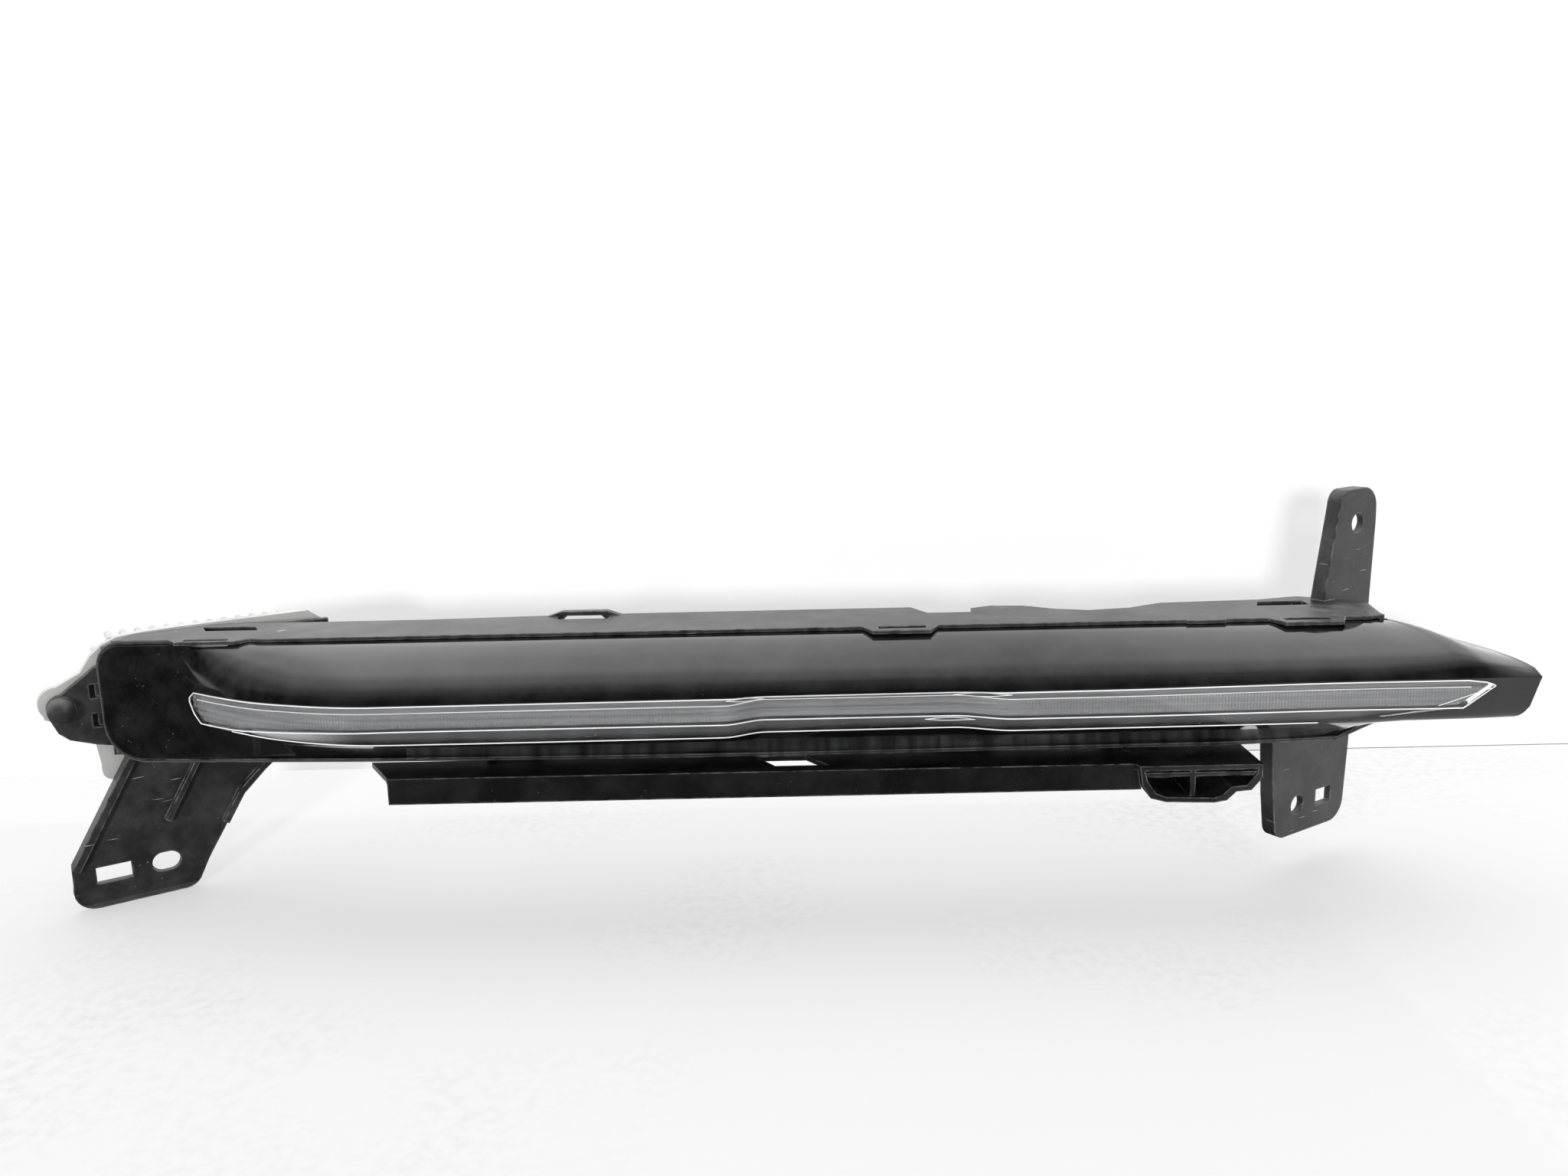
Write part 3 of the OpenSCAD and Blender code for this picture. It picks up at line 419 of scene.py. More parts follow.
# %% Sections of the shell
shell_foot = curve_through([(WING_START, WING_FOOT), (215, -12.5), (WING_X, -9.5)])
wing_rear = curve_through([(WING_START, WING_START), (206, 201.4), (214, 202),
                           (226, 203.4), (WING_X, 206)])
rear_y = curve_through([(215, PANEL_Y), (221, 31), (WING_X, 50)])
low_y = curve_through([(WING_START, PANEL_Y), (WING_X, 14)])
HOOD_STEPS = 22
STEP_SHARE, STEP_GAP, STEP_DROP = 0.97, 0.075, 0.175   # the dark step over the strip


def round_in(x, r):
    d = max(0, min(1, (x - SKIRT_L) / r)) * r
    return r - math.sqrt(r * r - (r - d) ** 2)


wing_drop = curve_through([(-40, 0), (-26, 0.5), (-18, 1.1), (-12, 0), (-6, -1.7),
                           (0, -3.2)])


def shell_top(x):
    return (SKIRT_TOP - round_in(x, CORNER_T) - 2 * ease(190, WING_X, x)
            + wing_drop(x - WING_X))


def shell_low(x):
    if x >= WING_START:
        low = shell_foot(x)
    else:
        rise = max(0, (x - FOOT_TURN_X) / (WING_START - FOOT_TURN_X))
        low = base_z(x) + 2 + (WING_FOOT - base_z(FOOT_TURN_X) - 2) * rise
    return low + round_in(x, CORNER_B)


def lean(x, y, z):
    """The section's X, leaned so that the wing ends along the sweep."""
    rear = x if x <= WING_START else wing_rear(x)
    return (x + (rear - x) * (y - line_y(x)) / max(1, rear_y(x) - line_y(x))
            - 0.45 * ease(221, WING_X, x) * max(0, 3.4 - z), y, z)


def skirt_end(x, y):
    return SKIRT_Y if x <= WING_START else y + 0.5


def rounded(a, corner, b, share):
    """Five points round a corner, which stays sharp where the share is 0."""
    def towards(end, part):
        return tuple(corner[k] + (end[k] - corner[k]) * part for k in (0, 1))

    if not share:
        return [towards(a, 0.02 * (4 - i)) for i in range(5)]
    first = towards(a, share)
    last = towards(b, share * math.dist(a, corner) / math.dist(b, corner))
    return [tuple((1 - u) ** 2 * first[k] + 2 * u * (1 - u) * corner[k] + u * u * last[k]
                  for k in (0, 1)) for u in (0.02, 0.25, 0.5, 0.75, 0.98)]


def shell_section(x, inner=False):
    t = LENS_T if inner else 0.0
    far, near = rear_y(x), line_y(x)
    full = max(0, min(1, (far - near) / 10))
    top, power = shell_top(x) - t, 0.75 - 0.25 * ease(185, WING_X, x)
    low = hood_low(x) + (0.25 * (strip_y(x) - near) if inner else 0)
    points = [(skirt_end(x, far), top)]
    for i in range(HOOD_STEPS + 1):
        u = i / HOOD_STEPS
        points.append((far - (far - near) * u + t * (1 - full + full * u ** 1.5),
                       low + (top - low) * (1 - u * u) ** power))
    points += [(near + STEP_SHARE * (strip_y(x) - near) + STEP_GAP + t,
                low - STEP_DROP * (1 - recess(x))),
               (strip_y(x) + 0.15 + t, strip_top(x)), (strip_y(x) + t, bright_z(x))]
    edge = (min(PANEL_Y, strip_y(x) + 1) + t, under_z(x) + (0.5 if inner else 0))
    foot = (low_y(x) + t * (1 - full), shell_low(x) + t)
    points += rounded(points[-1], edge, foot, 0.0 if inner else 0.6 * ease(168, 190, x))
    points += [foot,
               (skirt_end(x, low_y(x)), shell_low(x) + t)]
    return [lean(x, y, z) for y, z in points]


def stations():
    """Close together where the lamp turns, and 3 mm apart elsewhere."""
    xs = [SKIRT_L + d for d in (0, 0.3, 0.6, 1.2, 2.2, 3.4, 4.6, 5.8, 7.6, 10, 12.6)]
    while xs[-1] < WING_X - 0.5:
        x = xs[-1]
        fine = -24 < x < -2 or 49 < x < 76 or 190 < x
        xs.append(min(WING_X, x + (1.2 if fine else 3.0)))
    return xs


def loft(name, rings):
    """A closed skin over the rings. Each ring is an outer line and then an
    inner one backwards, so its ends are capped with a row of quads."""
    mesh = bmesh.new()
    rows = [[mesh.verts.new(placed(p)) for p in ring] for ring in rings]
    m = len(rows[0])
    for a, b in zip(rows, rows[1:]):
        for j in range(m):
            k = (j + 1) % m
            mesh.faces.new((a[j], b[j], b[k], a[k]))
    for row in (rows[0], rows[-1]):
        for j in range(m // 2 - 1):
            mesh.faces.new((row[j], row[j + 1], row[m - 2 - j], row[m - 1 - j]))
    bmesh.ops.recalc_face_normals(mesh, faces=mesh.faces)
    data = bpy.data.meshes.new(name)
    mesh.to_mesh(data)
    mesh.free()
    made = bpy.data.objects.new(name, data)
    bpy.context.scene.collection.objects.link(made)
    return made


def pick(*pieces):
    bpy.ops.object.select_all(action="DESELECT")
    for piece in pieces:
        piece.select_set(True)
    bpy.context.view_layer.objects.active = pieces[0]


def shell_piece(name):
    return loft(name, [shell_section(x) + shell_section(x, True)[::-1]
                       for x in stations()])


hood = shell_piece("hood_skin")
strip = shell_piece("strip_lens")
print("shell:", len(hood.data.polygons), "faces")

# %% [markdown]
# ## Cutting the shell in two
# The clear strip's outline, seen from the front, is pushed through the shell
# as a block. A Boolean takes it out of one copy of the shell, which leaves
# the black hood, and keeps only what is inside it of the other, the strip.

# %% Cut
STRIP_LEFT, STRIP_TIP, TIP_Z = -200.8, 224.6, 3.7
TOP_L, TOP_R = -198, 216              # ends of the strip's top line


def strip_outline(grow):
    top = [(STRIP_LEFT - grow, 1.4)]
    for i in range(121):
        x = TOP_L + (TOP_R - TOP_L) * i / 120
        top.append((x, strip_top(x) + grow))
    low = [(STRIP_TIP + grow, TIP_Z), (TIP_TURN_X, bright_z(TIP_TURN_X) - grow)]
    for i in range(61):
        x = FACET_R - (FACET_R - FACET_L) * i / 60
        low.append((x, under_z(x) - grow))
    return top + low + [(-196.3, -6.9 - grow)]


def strip_block(name, grow):
    """The outline as a block: a filled face, extruded to the back."""
    mesh = bmesh.new()
    ring = [mesh.verts.new(placed((x, -6, z))) for x, z in strip_outline(grow)]
    face = mesh.faces.new(ring)
    moved = bmesh.ops.extrude_face_region(mesh, geom=[face])["geom"]
    bmesh.ops.translate(mesh, vec=(0, (PANEL_Y + 12) * MM, 0),
                        verts=[g for g in moved if isinstance(g, bmesh.types.BMVert)])
    bmesh.ops.recalc_face_normals(mesh, faces=mesh.faces)
    data = bpy.data.meshes.new(name)
    mesh.to_mesh(data)
    mesh.free()
    made = bpy.data.objects.new(name, data)
    bpy.context.scene.collection.objects.link(made)
    return made


def cut(piece, block, operation):
    pick(piece)
    tool = piece.modifiers.new("cut", "BOOLEAN")
    tool.operation, tool.object, tool.solver = operation, block, "EXACT"
    bpy.ops.object.modifier_apply(modifier="cut")
    bpy.data.objects.remove(block)
    pick(piece)
    bpy.ops.object.shade_smooth_by_angle(angle=math.radians(32))


cut(hood, strip_block("hood_cutter", 0.03), "DIFFERENCE")
cut(strip, strip_block("strip_cutter", -0.03), "INTERSECT")
for piece, node, slot_name in ((hood, "lens_hood", "gloss_black"),
                               (strip, "lens_strip", "clear")):
    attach(piece, "root")
    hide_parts(node)
    print(piece.name, len(piece.data.polygons), "faces")
strip.visible_shadow = False

# %% [markdown]
# ## The fluted light guide
# Behind the clear strip lies the bar that spreads the light. Its face has
# flutes along its length, and fine upright ribs in the left and the right
# stretch. The bar is lofted from closely set sections, and the ribs are made
# by moving every other section a little to the back.

# %% Light guide
GUIDE_GAP, GUIDE_D, RIB = 0.5, 4.6, 0.16
GUIDE_START, GUIDE_END = -198.6, 222.6
NARROW_L, NARROW_R = -194, 213        # where the bar narrows to its ends
RIBS_L, RIBS_R = -24, 76              # no upright ribs between these
# share of the height from the top, and how far the face lies back there
FLUTES = [(0, 1.0), (0.07, 0.6), (0.2, 0.22), (0.26, 0.0), (0.3, 0.12),
          (0.37, 0.02), (0.44, 0.16), (0.51, 0.02), (0.58, 0.16), (0.66, 0.02),
          (0.74, 0.16), (0.82, 0.02), (0.9, 0.14), (0.96, 0.1), (1, 0.4)]


def guide_heights(x):
    """Top and bottom of the bar, drawn to a point under the strip's tip."""
    high = strip_top(x) - 0.6
    low = bright_z(x) + 0.3
    if x < NARROW_L:
        low += 3.4 * (NARROW_L - x) / (NARROW_L - GUIDE_START)
    if x > NARROW_R:
        low += (3.5 - low) * ((x - NARROW_R) / 10) ** 1.1
    return max(high, low + 0.05), low


def guide_section(x, rib):
    high, low = guide_heights(x)
    face = strip_y(x) + LENS_T + GUIDE_GAP
    front = [(x, face + dent + rib * (0.24 < share < 0.97),
              high + (low - high) * share) for share, dent in FLUTES]
    rear = [(x, face + GUIDE_D * (0.55 if i in (0, len(FLUTES) - 1) else 1), p[2])
            for i, p in enumerate(front)]
    return front + rear[::-1]


def has_ribs(x):
    return x < RIBS_L or x > RIBS_R


def guide_stations():
    xs = [GUIDE_START]
    while xs[-1] < GUIDE_END:
        xs.append(min(GUIDE_END, xs[-1] + (0.5 if has_ribs(xs[-1]) else 1.2)))
    return xs


guide = loft("guide_bar", [guide_section(x, RIB if has_ribs(x) and count % 2 else 0.0)
                           for count, x in enumerate(guide_stations())])
pick(guide)
bpy.ops.object.shade_smooth_by_angle(angle=math.radians(20))
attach(guide, "root")
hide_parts("light_guide")
print("guide:", len(guide.data.polygons), "faces")

# %% [markdown]
# ## Bright moulded lines
# Thin white beads round the clear strip's edge and along its creases are
# painted highlights: the thin white lines where the lens catches the light.
# Each is a tube along a curve, about half sunk in the face of the lens, so it
# keeps the same width all along.

# %% Beads
PROUD = 0.05                          # how far a bead's middle stands out of the face
TIP_FACE = strip_y(223) - PROUD


def bead(name, points, radius, closed=False):
    line = bpy.data.curves.new(name, "CURVE")
    line.dimensions = "3D"
    line.bevel_depth, line.bevel_resolution = radius * MM, 1
    spline = line.splines.new("POLY")
    spline.points.add(len(points) - 1)
    for point, p in zip(spline.points, points):
        point.co = (*placed(p), 1)
    spline.use_cyclic_u = closed
    made = bpy.data.objects.new(name, line)
    bpy.context.scene.collection.objects.link(made)
    pick(made)
    bpy.ops.object.convert(target="MESH")
    bpy.ops.object.shade_smooth()
    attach(made, "root")
    return made


def on_face(x, z):
    return x, strip_y(x) - PROUD, z


def along(first, last, height, proud=PROUD, step=2.0):
    """Points along the strip's face, at the height that the function gives."""
    count = int((last - first) / step)
    xs = [first + (last - first) * i / count for i in range(count + 1)]
    return [(x, strip_y(x) - proud, height(x)) for x in xs]


rim_line = (along(-197.3, TIP_TURN_X, lambda x: strip_top(x) - 0.2)
            + [on_face(221, strip_top(221) - 0.9), (223.4, TIP_FACE, TIP_Z + 0.25),
               (223.9, TIP_FACE, TIP_Z - 0.2)]
            + along(-195.3, 214, bright_z)[::-1]
            + [on_face(-198.2, -3.2), on_face(-199.8, 0.6), on_face(-199.6, 2.2)])


def crest_drop(x):
    return strip_top(x) - 2.3 + 1.2 * recess(x)


beads = [bead("rim_bead", rim_line, 0.22, closed=True),
         bead("tip_bead", along(206, 222.6, lambda x: bright_z(x) + 0.9 + (x - 206) * 0.33),
              0.13),
         bead("crest_bead", along(-196, 216, crest_drop), 0.13),
         bead("foot_bead", along(-182, 168, lambda x: under_z(x) + 0.3, -0.7), 0.2)]
print("beads:", [b.name for b in beads])

# %% [markdown]
# ## Painted highlights at the set-back stretch
# Where the strip steps back and forward, the clear moulding breaks the light
# into small almonds, and the step over it has a bright crest. Both are painted
# highlights, thin white beads too. The cube of a sine gives the almonds their
# pointed ends.

# %% Marks
def eye(name, first, last, height, half):
    """A small white almond, a painted highlight where a ramp of the set-back stretch breaks the
    light.
    """
    path = []
    for i in range(24):
        a = 2 * math.pi * i / 24
        x = (first + last) / 2 + (last - first) / 2 * math.cos(a)
        path.append((x, strip_y(x) - 0.03, height(x) + half * math.sin(a) ** 3))
    return bead(name, path, 0.11, closed=True)


# White beads: painted highlights on the step's crest and at the ramps.
marks = [bead("ledge_bead", along(-9, 22, lambda x: strip_top(x) + 0.95, 0.12), 0.12),
         eye("eye_left", -19, -7, lambda x: strip_top(x) - 0.8, 0.5),
         eye("eye_right", 53, 71, lambda x: strip_top(x) - 0.9, 0.6),
         eye("eye_low", 44, 60, lambda x: bright_z(x) - 1.0, 0.5)]
beads += marks
print("marks:", [b.name for b in marks])

# %% [markdown]
# ## Edges at the left end
# The housing's rim and the lens inside it have rounded edges that catch the
# light, and the panel is folded where it meets the hood. Each is a bead in
# the colour of its own piece, but the rim's bead is a lighter grey, partly
# worn and partly a painted highlight.

# %% Edge lines
def rim_path(inset, y, first, last):
    """Along the rim: top edge, round the left side and back underneath."""
    left, top, low = BODY_L + inset, BODY_TOP - inset, base_z(-218) + inset
    rt, rb = ROUND_T - inset, ROUND_B - inset
    path = [(first, y, top)]
    path += [(left + rt - rt * math.sin(a), y, top - rt + rt * math.cos(a))
             for a in [math.pi / 2 * i / 10 for i in range(11)]]
    path += [(left + rb - rb * math.cos(a), y, low + rb - rb * math.sin(a))
             for a in [math.pi / 2 * i / 10 for i in range(11)]]
    return path + [(x, y, base_z(x) + inset) for x in range(-210, last, 10)]


lines = [bead("rim_line", rim_path(0.35, RIM_Y + 0.05, -176, -90), 0.3),
         bead("lens_line", rim_path(RIM_T + FIT + 0.35, PANEL_Y + 0.1, -185, -120), 0.22),
         bead("panel_fold", [(-217.6, PANEL_Y, 14.5), (-218.6, PANEL_Y, 11), (-218.4, PANEL_Y, 8),
                             (-216.6, PANEL_Y, 4), (-213.6, PANEL_Y, 0.4),
                             (-210, PANEL_Y, -2.4)], 0.22)]
print("lines:", [b.name for b in lines])

# %% [markdown]
# ## Painted shade behind the lower facet
# A dark strip of painted shade keeps the eye out of the lamp below the bright
# line, standing in for the shade inside it, and pales at the left where the
# strip turns back. It is lofted like the guide.

# %% Shade
def painted_shade_section(x):
    high, low = bright_z(x) - 0.1, min(bright_z(x) - 0.25, under_z(x) + 0.1)
    if x > FACET_R:
        low = min(high - 0.1, low + (high - 0.1 - low) * (x - FACET_R) / (TIP_TURN_X - FACET_R))
    face = strip_y(x) + LENS_T + 0.45
    return [(x, face, high), (x, face + 0.3, (high + low) / 2), (x, face + 1.1, low),
            (x, face + 2.2, low), (x, face + 2.0, (high + low) / 2), (x, face + 1.4, high)]


# The dark strip of painted shade behind the lower facet.
shade = loft("facet_painted_shade", [painted_shade_section(-192 + 3.0 * i) for i in range(137)])
pick(shade)
bpy.ops.object.shade_smooth_by_angle(angle=math.radians(30))
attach(shade, "root")
print("shade:", len(shade.data.polygons), "faces")

# %% [markdown]
# ## Effects that several finishes share
# Grain, scratches, dust and worn edges are node groups. The worn edges are
# partly real wear and partly a painted highlight along every edge. Each puts
# out a height or a mask, and every finish sets its own amounts.

# %% Effect groups
def effect(name, inputs, outputs):
    tree = bpy.data.node_groups.new(name, "ShaderNodeTree")
    for label, value in inputs.items():
        socket = tree.interface.new_socket(label, in_out="INPUT",
                                           socket_type="NodeSocketFloat")
        socket.default_value = value
    for label in outputs:
        tree.interface.new_socket(label, in_out="OUTPUT",
                                  socket_type="NodeSocketFloat")
    return (tree, tree.nodes.new("NodeGroupInput").outputs,
            tree.nodes.new("NodeGroupOutput").inputs)


def grain_effect():
    tree, given, out = effect("moulded_grain", {"Scale": 1800.0}, ["Height", "Patches"])
    where = add(tree, "TexCoord").outputs["Object"]
    fine = add(tree, "TexNoise", Vector=where, Scale=given["Scale"], Detail=3.0)
    wide = add(tree, "TexNoise", Vector=where, Scale=38.0, Detail=5.0, Roughness=0.6)
    tree.links.new(fine.outputs[0], out["Height"])
    tree.links.new(spread(tree, wide.outputs[0], 0.3, 0.7), out["Patches"])
    return tree


def scratch_effect():
    """Short dashes. Each of the flat cells holds one thin disc, which cuts the
    surface in a dash, and most are left out by the cell's random colour."""
    tree, given, out = effect("scratches", {"Amount": 0.5, "Scale": 60.0}, ["Mask"])
    where = add(tree, "TexCoord").outputs["Object"]
    wavy = add(tree, "TexNoise", Vector=where, Scale=50.0, Detail=1.0)
    bent = add(tree, "VectorMath", {"operation": "SCALE"}, i0=wavy.outputs["Color"],
               Scale=0.004)
    bent = add(tree, "VectorMath", {"operation": "ADD"}, i0=where, i1=bent.outputs[0])
    marks = None
    for turn, kept in ((0.35, 0.93), (1.25, 0.95), (2.3, 0.94)):
        leaned = add(tree, "Mapping", Vector=bent.outputs[0],
                     Rotation=(turn * 0.6, turn, turn * 0.4), Scale=(1.0, 1.0, 16.0))
        cells = add(tree, "TexVoronoi", Vector=leaned.outputs[0], Scale=given["Scale"])
        dash = spread(tree, cells.outputs["Distance"], 0.06, 0.14, 1.0, 0.0)
        chance = add(tree, "SeparateXYZ", Vector=cells.outputs["Color"]).outputs["X"]
        dash = sums(tree, "MULTIPLY", dash, sums(tree, "GREATER_THAN", chance, kept))
        marks = dash if marks is None else sums(tree, "MAXIMUM", marks, dash)
    tree.links.new(sums(tree, "MULTIPLY", marks, given["Amount"]), out["Mask"])
    return tree


def dust_effect():
    tree, given, out = effect("dust", {"Amount": 0.5}, ["Mask"])
    where = add(tree, "TexCoord").outputs["Object"]
    up = add(tree, "SeparateXYZ", Vector=add(tree, "NewGeometry").outputs["Normal"])
    lies = spread(tree, up.outputs["Z"], 0.0, 0.9, 0.25, 1.0)
    clouds = add(tree, "TexNoise", Vector=where, Scale=70.0, Detail=8.0, Roughness=0.7)
    film = spread(tree, clouds.outputs[0], 0.42, 0.75)
    bits = add(tree, "TexVoronoi", Vector=where, Scale=420.0, Randomness=1.0)
    bits = spread(tree, bits.outputs["Distance"], 0.05, 0.16, 1.0, 0.0)
    thin = add(tree, "TexNoise", Vector=where, Scale=120.0)
    bits = sums(tree, "MULTIPLY", bits, spread(tree, thin.outputs[0], 0.52, 0.6))
    both = sums(tree, "MAXIMUM", sums(tree, "MULTIPLY", film, lies), bits)
    tree.links.new(sums(tree, "MULTIPLY", both, given["Amount"]), out["Mask"])
    return tree


def worn_and_highlight_edge_effect():
    tree, given, out = effect("worn_and_highlight_edge", {"Amount": 0.5}, ["Mask"])
    where = add(tree, "TexCoord").outputs["Object"]
    rounded = add(tree, "Bevel", {"samples": 4}, Radius=0.0009)
    flat = add(tree, "NewGeometry").outputs["True Normal"]
    same = add(tree, "VectorMath", {"operation": "DOT_PRODUCT"}, i0=rounded.outputs[0], i1=flat)
    # Lighter along every edge: partly real wear, partly a painted highlight.
    edge = spread(tree, same.outputs["Value"], 0.975, 0.86)
    uneven = add(tree, "TexNoise", Vector=where, Scale=300.0, Detail=4.0)
    edge = sums(tree, "MULTIPLY", edge, spread(tree, uneven.outputs[0], 0.35, 0.62))
    tree.links.new(sums(tree, "MULTIPLY", edge, given["Amount"]), out["Mask"])
    return tree


GRAIN, SCRATCHES, DUST, WORN_AND_HIGHLIGHT = (grain_effect(), scratch_effect(), dust_effect(),
                                worn_and_highlight_edge_effect())


def use(tree, group, **values):
    node = tree.nodes.new("ShaderNodeGroup")
    node.node_tree = group
    for label, value in values.items():
        node.inputs[label].default_value = value
    return node.outputs


def bumped(tree, shader, height, distance, radius=0.0004, strength=0.5):
    """Bump over edges that are rounded as a mould rounds them."""
    rounded = add(tree, "Bevel", {"samples": 4}, Radius=radius)
    bump = add(tree, "Bump", Strength=strength, Distance=distance, Height=height,
               Normal=rounded.outputs[0])
    tree.links.new(bump.outputs[0], shader.inputs["Normal"])


print("effects:", [g.name for g in bpy.data.node_groups])

# %% [markdown]
# ## Finishes of the outside
# The housing is dull black plastic with moulded grain, the rail a smoother
# one. Both are scratched and dusty on top, and lighter grey along their edges,
# partly worn and partly a painted highlight.

# %% Black plastics
def scuffed_plastic(name, colour, roughness, grain, dust, scratch, wear_and_highlight, soft=0.0004):
    made, tree, shader = start(name, colour, roughness)
    skin = use(tree, GRAIN, Scale=grain)
    marks = use(tree, SCRATCHES, Amount=scratch, Scale=55.0)["Mask"]
    film = use(tree, DUST, Amount=dust)["Mask"]
    edge_wear_and_highlight = use(tree, WORN_AND_HIGHLIGHT, Amount=wear_and_highlight)["Mask"]
    paint = blend_colours(tree, skin["Patches"], colour, [c * 1.7 for c in colour])
    paint = blend_colours(tree, marks, paint, (0.36, 0.36, 0.365))
    # Edges lighter grey: partly real wear, partly a painted highlight.
    paint = blend_colours(tree, edge_wear_and_highlight, paint, (0.26, 0.26, 0.265))
    paint = blend_colours(tree, film, paint, (0.19, 0.19, 0.185))
    tree.links.new(paint, shader.inputs["Base Color"])
    rough = spread(tree, skin["Patches"], 0, 1, roughness - 0.06, roughness + 0.08)
    rough = sums(tree, "ADD", rough, sums(tree, "MULTIPLY", film, 0.3))
    tree.links.new(rough, shader.inputs["Roughness"])
    height = sums(tree, "SUBTRACT", skin["Height"], sums(tree, "MULTIPLY", marks, 1.5))
    bumped(tree, shader, height, 0.00012, radius=soft)
    return made


def housing_black():
    return scuffed_plastic("housing_black", (0.014, 0.014, 0.0145), 0.42, 1500.0,
                           0.9, 1.0, 1.0, soft=0.0008)


def rail_black():
    return scuffed_plastic("rail_black", (0.005, 0.005, 0.0052), 0.3, 1100.0,
                           0.22, 0.35, 0.7)


# A lighter black for the rim's bead: partly worn, partly a painted highlight.
def rubbed_and_highlight_black():
    return scuffed_plastic("rubbed_and_highlight_black", (0.06, 0.06, 0.061), 0.45, 1500.0, 0.6, 0.6, 0.0)


def cap_black():
    return scuffed_plastic("cap_black", (0.015, 0.015, 0.016), 0.5, 1900.0,
                           0.3, 0.2, 0.5)


def gloss_black():
    """Polished black with faint orange peel, fine dust and hairlines."""
    made, tree, shader = start("gloss_black", (0.004, 0.004, 0.0045), 0.07)
    shader.inputs["IOR"].default_value = 1.6
    skin = use(tree, GRAIN, Scale=330.0)
    marks = use(tree, SCRATCHES, Amount=0.25, Scale=90.0)["Mask"]
    place = add(tree, "SeparateXYZ", Vector=add(tree, "TexCoord").outputs["Object"])
    dustier = spread(tree, place.outputs["X"], placed((-200, 0, 0)).x,
                     placed((-150, 0, 0)).x, 3.2, 1.0)
    film = sums(tree, "MULTIPLY", use(tree, DUST, Amount=0.1)["Mask"], dustier)
    paint = blend_colours(tree, film, (0.004, 0.004, 0.0045), (0.2, 0.2, 0.195))
    paint = blend_colours(tree, marks, paint, (0.06, 0.06, 0.06))
    tree.links.new(paint, shader.inputs["Base Color"])
    rough = spread(tree, skin["Patches"], 0, 1, 0.05, 0.13)
    tree.links.new(sums(tree, "ADD", rough, sums(tree, "MULTIPLY", film, 0.8)),
                   shader.inputs["Roughness"])
    bumped(tree, shader, skin["Patches"], 0.00006, radius=0.00035, strength=0.12)
    return made


# %% [markdown]
# ## Clear plastics
# The lens is clear and polished, with dust specks on its face. The guide
# isn't see-through here. It is a dark grey with fine streaks along its length,
# as the milky bar looks behind the lens. The beads are painted nearly white,
# as painted highlights.

# %% Clear plastics
def clear_lens():
    made, tree, shader = start("clear_lens", (0.97, 0.975, 0.98), 0.03)
    shader.inputs["Transmission Weight"].default_value = 1.0
    shader.inputs["IOR"].default_value = 1.49
    skin = use(tree, GRAIN, Scale=500.0)
    film = use(tree, DUST, Amount=0.3)["Mask"]
    tree.links.new(sums(tree, "ADD", spread(tree, skin["Patches"], 0, 1, 0.01, 0.05),
                        sums(tree, "MULTIPLY", film, 0.5)), shader.inputs["Roughness"])
    bumped(tree, shader, skin["Patches"], 0.00003, radius=0.0003, strength=0.1)
    return made


def guide_milky():
    made, tree, shader = start("guide_milky", (0.1, 0.1, 0.101), 0.25)
    where = add(tree, "TexCoord").outputs["Object"]
    long = add(tree, "Mapping", Vector=where, Scale=(2.0, 60.0, 900.0))
    streaks = add(tree, "TexNoise", Vector=long.outputs[0], Scale=1.0, Detail=3.0)
    skin = use(tree, GRAIN, Scale=900.0)
    paint = blend_colours(tree, spread(tree, streaks.outputs[0], 0.35, 0.65),
                          (0.05, 0.05, 0.051), (0.14, 0.14, 0.142))
    tree.links.new(paint, shader.inputs["Base Color"])
    bumped(tree, shader, sums(tree, "ADD", streaks.outputs[0], skin["Height"]), 0.0001,
           radius=0.0001)
    return made


def bead_painted_highlight():
    # Nearly white: painted highlights where the lens's edges catch the light.
    made, tree, shader = start("bead_painted_highlight", (0.9, 0.9, 0.9), 0.35)
    skin = use(tree, GRAIN, Scale=700.0)
    paint = blend_colours(tree, skin["Patches"], (0.75, 0.75, 0.755), (1.0, 1.0, 1.0))
    tree.links.new(paint, shader.inputs["Base Color"])
    bumped(tree, shader, skin["Height"], 0.00004, radius=0.0001)
    return made


# %% [markdown]
# ## Metals
# The heatsink is a raw casting: dull, pale, with sand-like grain and patches
# of oxide. The screws are plated steel and the pins tinned.

# %% Metals
def metal(name, colour, roughness, grain, stain, depth, shine=1.0):
    made, tree, shader = start(name, colour, roughness, metallic=shine)
    skin = use(tree, GRAIN, Scale=grain)
    marks = use(tree, SCRATCHES, Amount=0.5, Scale=90.0)["Mask"]
    paint = blend_colours(tree, skin["Patches"], colour, stain)
    tree.links.new(paint, shader.inputs["Base Color"])
    rough = spread(tree, skin["Patches"], 0, 1, roughness - 0.08, roughness + 0.1)
    tree.links.new(sums(tree, "ADD", rough, sums(tree, "MULTIPLY", marks, 0.15)),
                   shader.inputs["Roughness"])
    tree.links.new(spread(tree, skin["Patches"], 0, 1, shine, 0.75 * shine),
                   shader.inputs["Metallic"])
    bumped(tree, shader, sums(tree, "SUBTRACT", skin["Height"], marks), depth)
    return made


def cast_aluminium():
    return metal("cast_aluminium", (0.7, 0.7, 0.69), 0.55, 900.0, (0.58, 0.58, 0.57), 0.0003,
                 shine=0.4)


def plated_steel():
    return metal("plated_steel", (0.62, 0.62, 0.6), 0.3, 2600.0, (0.48, 0.47, 0.44), 0.00005)


def tinned_pin():
    return metal("tinned_pin", (0.75, 0.74, 0.7), 0.22, 3000.0, (0.62, 0.6, 0.55), 0.00003)


# %% [markdown]
# ## Finishes inside
# These pieces show only when the lamp is opened: rubber seals, the soft pad
# behind the light source, two boards with their copper tracks under the
# mask, dark component bodies, the socket, the lead and the vent.

